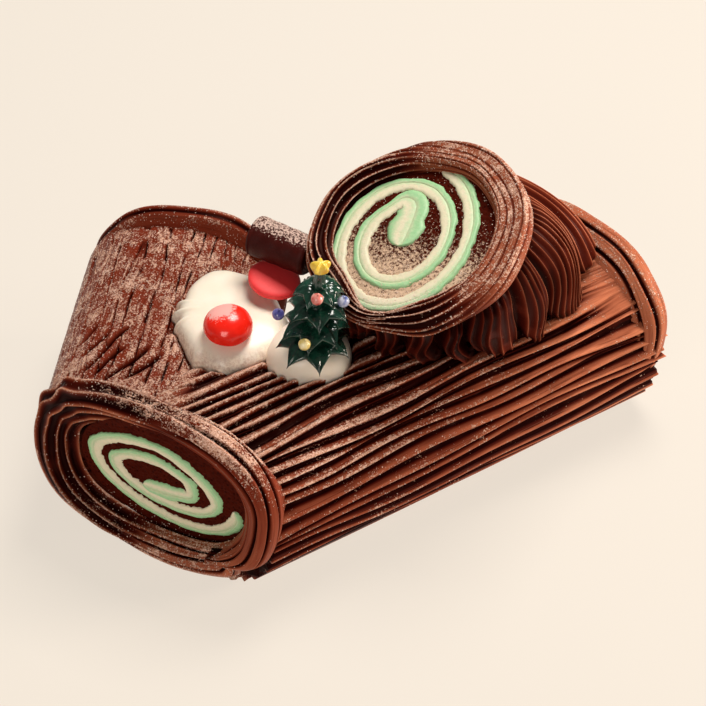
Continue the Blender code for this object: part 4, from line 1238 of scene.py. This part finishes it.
def baubles():
    kinds = {"red": ((0.55, 0.05, 0.04), (0.80, 0.40, 0.34)), "blue": ((0.05, 0.05, 0.22), (0.22, 0.20, 0.50)),
             "silver": ((0.10, 0.14, 0.38), (0.72, 0.74, 0.86)), "gold": ((0.70, 0.52, 0.14), (0.92, 0.84, 0.52))}
    for name, (low, high) in kinds.items():
        lowest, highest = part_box("bauble_" + name)
        centre = (np.array(lowest) + np.array(highest)) / 2 / MM
        radius = 2.3
        a = np.linspace(-np.pi / 2 + 0.03, np.pi / 2 - 0.03, 22)
        profile = [(radius * np.cos(t) * (1 + 0.03 * np.sin(5 * t)), radius * np.sin(t)) for t in a]
        profile += [(0.5, radius + 0.15), (0.45, radius + 0.6), (0.1, radius + 0.65)]
        rows = turned(centre, (0.1, -0.2, 1), profile, 32, lambda ang, h: 0.02 * np.sin(3 * ang + h))
        tube_piece("bauble_" + name + "_ball", rows, plastic_look(name + "_bauble_look", low, high, 0.25),
                   ["bauble_" + name], {})


icings()
candies()
tree()
baubles()


# ------------------------------------------------------------------ loose sugar
def loose_sugar(name, count, seed, sizes):
    """Sugar grains on everything that was sprinkled, more where it lies thicker."""
    rng = np.random.default_rng(seed)
    places, normals, weights = [], [], []
    for points, faces, chance in SPRINKLED:
        corners = points[faces]
        cross = np.cross(corners[:, 2] - corners[:, 0], corners[:, 3] - corners[:, 1])
        area = np.linalg.norm(cross, axis=-1) / 2
        here = np.clip(chance[faces].mean(axis=1), 0, 1.2) ** 1.3
        places.append(corners)
        normals.append(cross)
        weights.append(area * here)
    corners, cross = np.concatenate(places), np.concatenate(normals)
    weight = np.concatenate(weights)
    pick = rng.choice(len(weight), count, p=weight / weight.sum())
    s, t = rng.random((2, count, 1))
    c = corners[pick]
    spots = (c[:, 0] * (1 - s) + c[:, 1] * s) * (1 - t) + (c[:, 3] * (1 - s) + c[:, 2] * s) * t
    size = rng.uniform(*sizes, (count, 1, 1)) * rng.uniform(0.6, 1.3, (count, 1, 3))
    shape = np.array([(1, 0, 0), (0, 1, 0), (-1, 0, 0), (0, -1, 0), (0, 0, 1), (0, 0, -1)], dtype=float)
    spin = unit(rng.standard_normal((count, 3, 3)))
    spin[:, 1] = unit(np.cross(spin[:, 0], spin[:, 1]))
    spin[:, 2] = np.cross(spin[:, 0], spin[:, 1])
    grains = np.einsum("nij,njk->nik", shape[None] * size / 2, spin) + spots[:, None] + Z_UP * 0.05
    triangles = np.array([(0, 1, 4), (1, 2, 4), (2, 3, 4), (3, 0, 4), (1, 0, 5), (2, 1, 5), (3, 2, 5), (0, 3, 5)])
    faces = (triangles[None] + 6 * np.arange(count)[:, None, None]).reshape(-1, 3)
    grains[..., 2] = np.maximum(grains[..., 2], 0.05)
    build(name, grains, [faces], SUGAR, (), {}, smooth_faces=False)


loose_sugar("sugar_grains", 20000, 41, (0.22, 0.6))


# ------------------------------------------------------------------ stage, light and camera
def stage():
    look = Look("floor_look", Roughness=0.9)
    look.shader.inputs["Emission Strength"].default_value = 0.78
    look.shader.inputs["Emission Color"].default_value = (0.90, 0.815, 0.71, 1)
    look.finish(look.mix(look.noise(400, 2), (0.145, 0.13, 0.112), (0.155, 0.14, 0.12)))
    mesh = bpy.data.meshes.new("floor")
    half = 4.0
    mesh.from_pydata([(-half, -half, 0), (half, -half, 0), (half, half, 0), (-half, half, 0)], [], [(0, 1, 2, 3)])
    mesh.materials.append(look.material)
    floor = bpy.data.objects.new("floor", mesh)
    bpy.context.scene.collection.objects.link(floor)


def area_light(name, place, target, size, power, colour):
    light = bpy.data.lights.new(name, "AREA")
    light.shape = "RECTANGLE"
    light.size, light.size_y = size
    light.energy = power
    light.color = colour
    lamp = bpy.data.objects.new(name, light)
    lamp.location = place
    lamp.rotation_euler = (Vector(place) - Vector(target)).to_track_quat("Z", "Y").to_euler()
    bpy.context.scene.collection.objects.link(lamp)


def studio():
    world = bpy.data.worlds.new("studio")
    world.use_nodes = True
    world.node_tree.nodes["Background"].inputs[0].default_value = (1.0, 0.95, 0.88, 1)
    world.node_tree.nodes["Background"].inputs[1].default_value = 0.12
    bpy.context.scene.world = world
    target = (0.0, 0.02, 0.05)
    area_light("key", (0.38, 0.22, 1.0), target, (0.45, 0.45), 12.5, (1.0, 0.95, 0.88))
    area_light("side", (0.85, -0.45, 0.30), target, (0.3, 0.3), 11, (1.0, 0.85, 0.72))
    area_light("front", (-0.75, -0.55, 0.55), target, (0.4, 0.4), 3.6, (1.0, 0.88, 0.80))


def camera():
    turn, lift, distance = radians(-32.07), radians(44.2), 0.87539
    back = Vector((np.sin(turn) * np.cos(lift), -np.cos(turn) * np.cos(lift), np.sin(lift)))
    lens = bpy.data.cameras.new("camera")
    lens.sensor_width = 36
    lens.lens = 107.02
    lens.clip_start = 0.05
    body = bpy.data.objects.new("camera", lens)
    body.location = Vector((-3.52, 30.75, 30.0)) * MM + back * distance
    body.rotation_euler = back.to_track_quat("Z", "Y").to_euler()
    bpy.context.scene.collection.objects.link(body)
    bpy.context.scene.camera = body
    bpy.context.scene.view_settings.view_transform = "Standard"


stage()
studio()
camera()
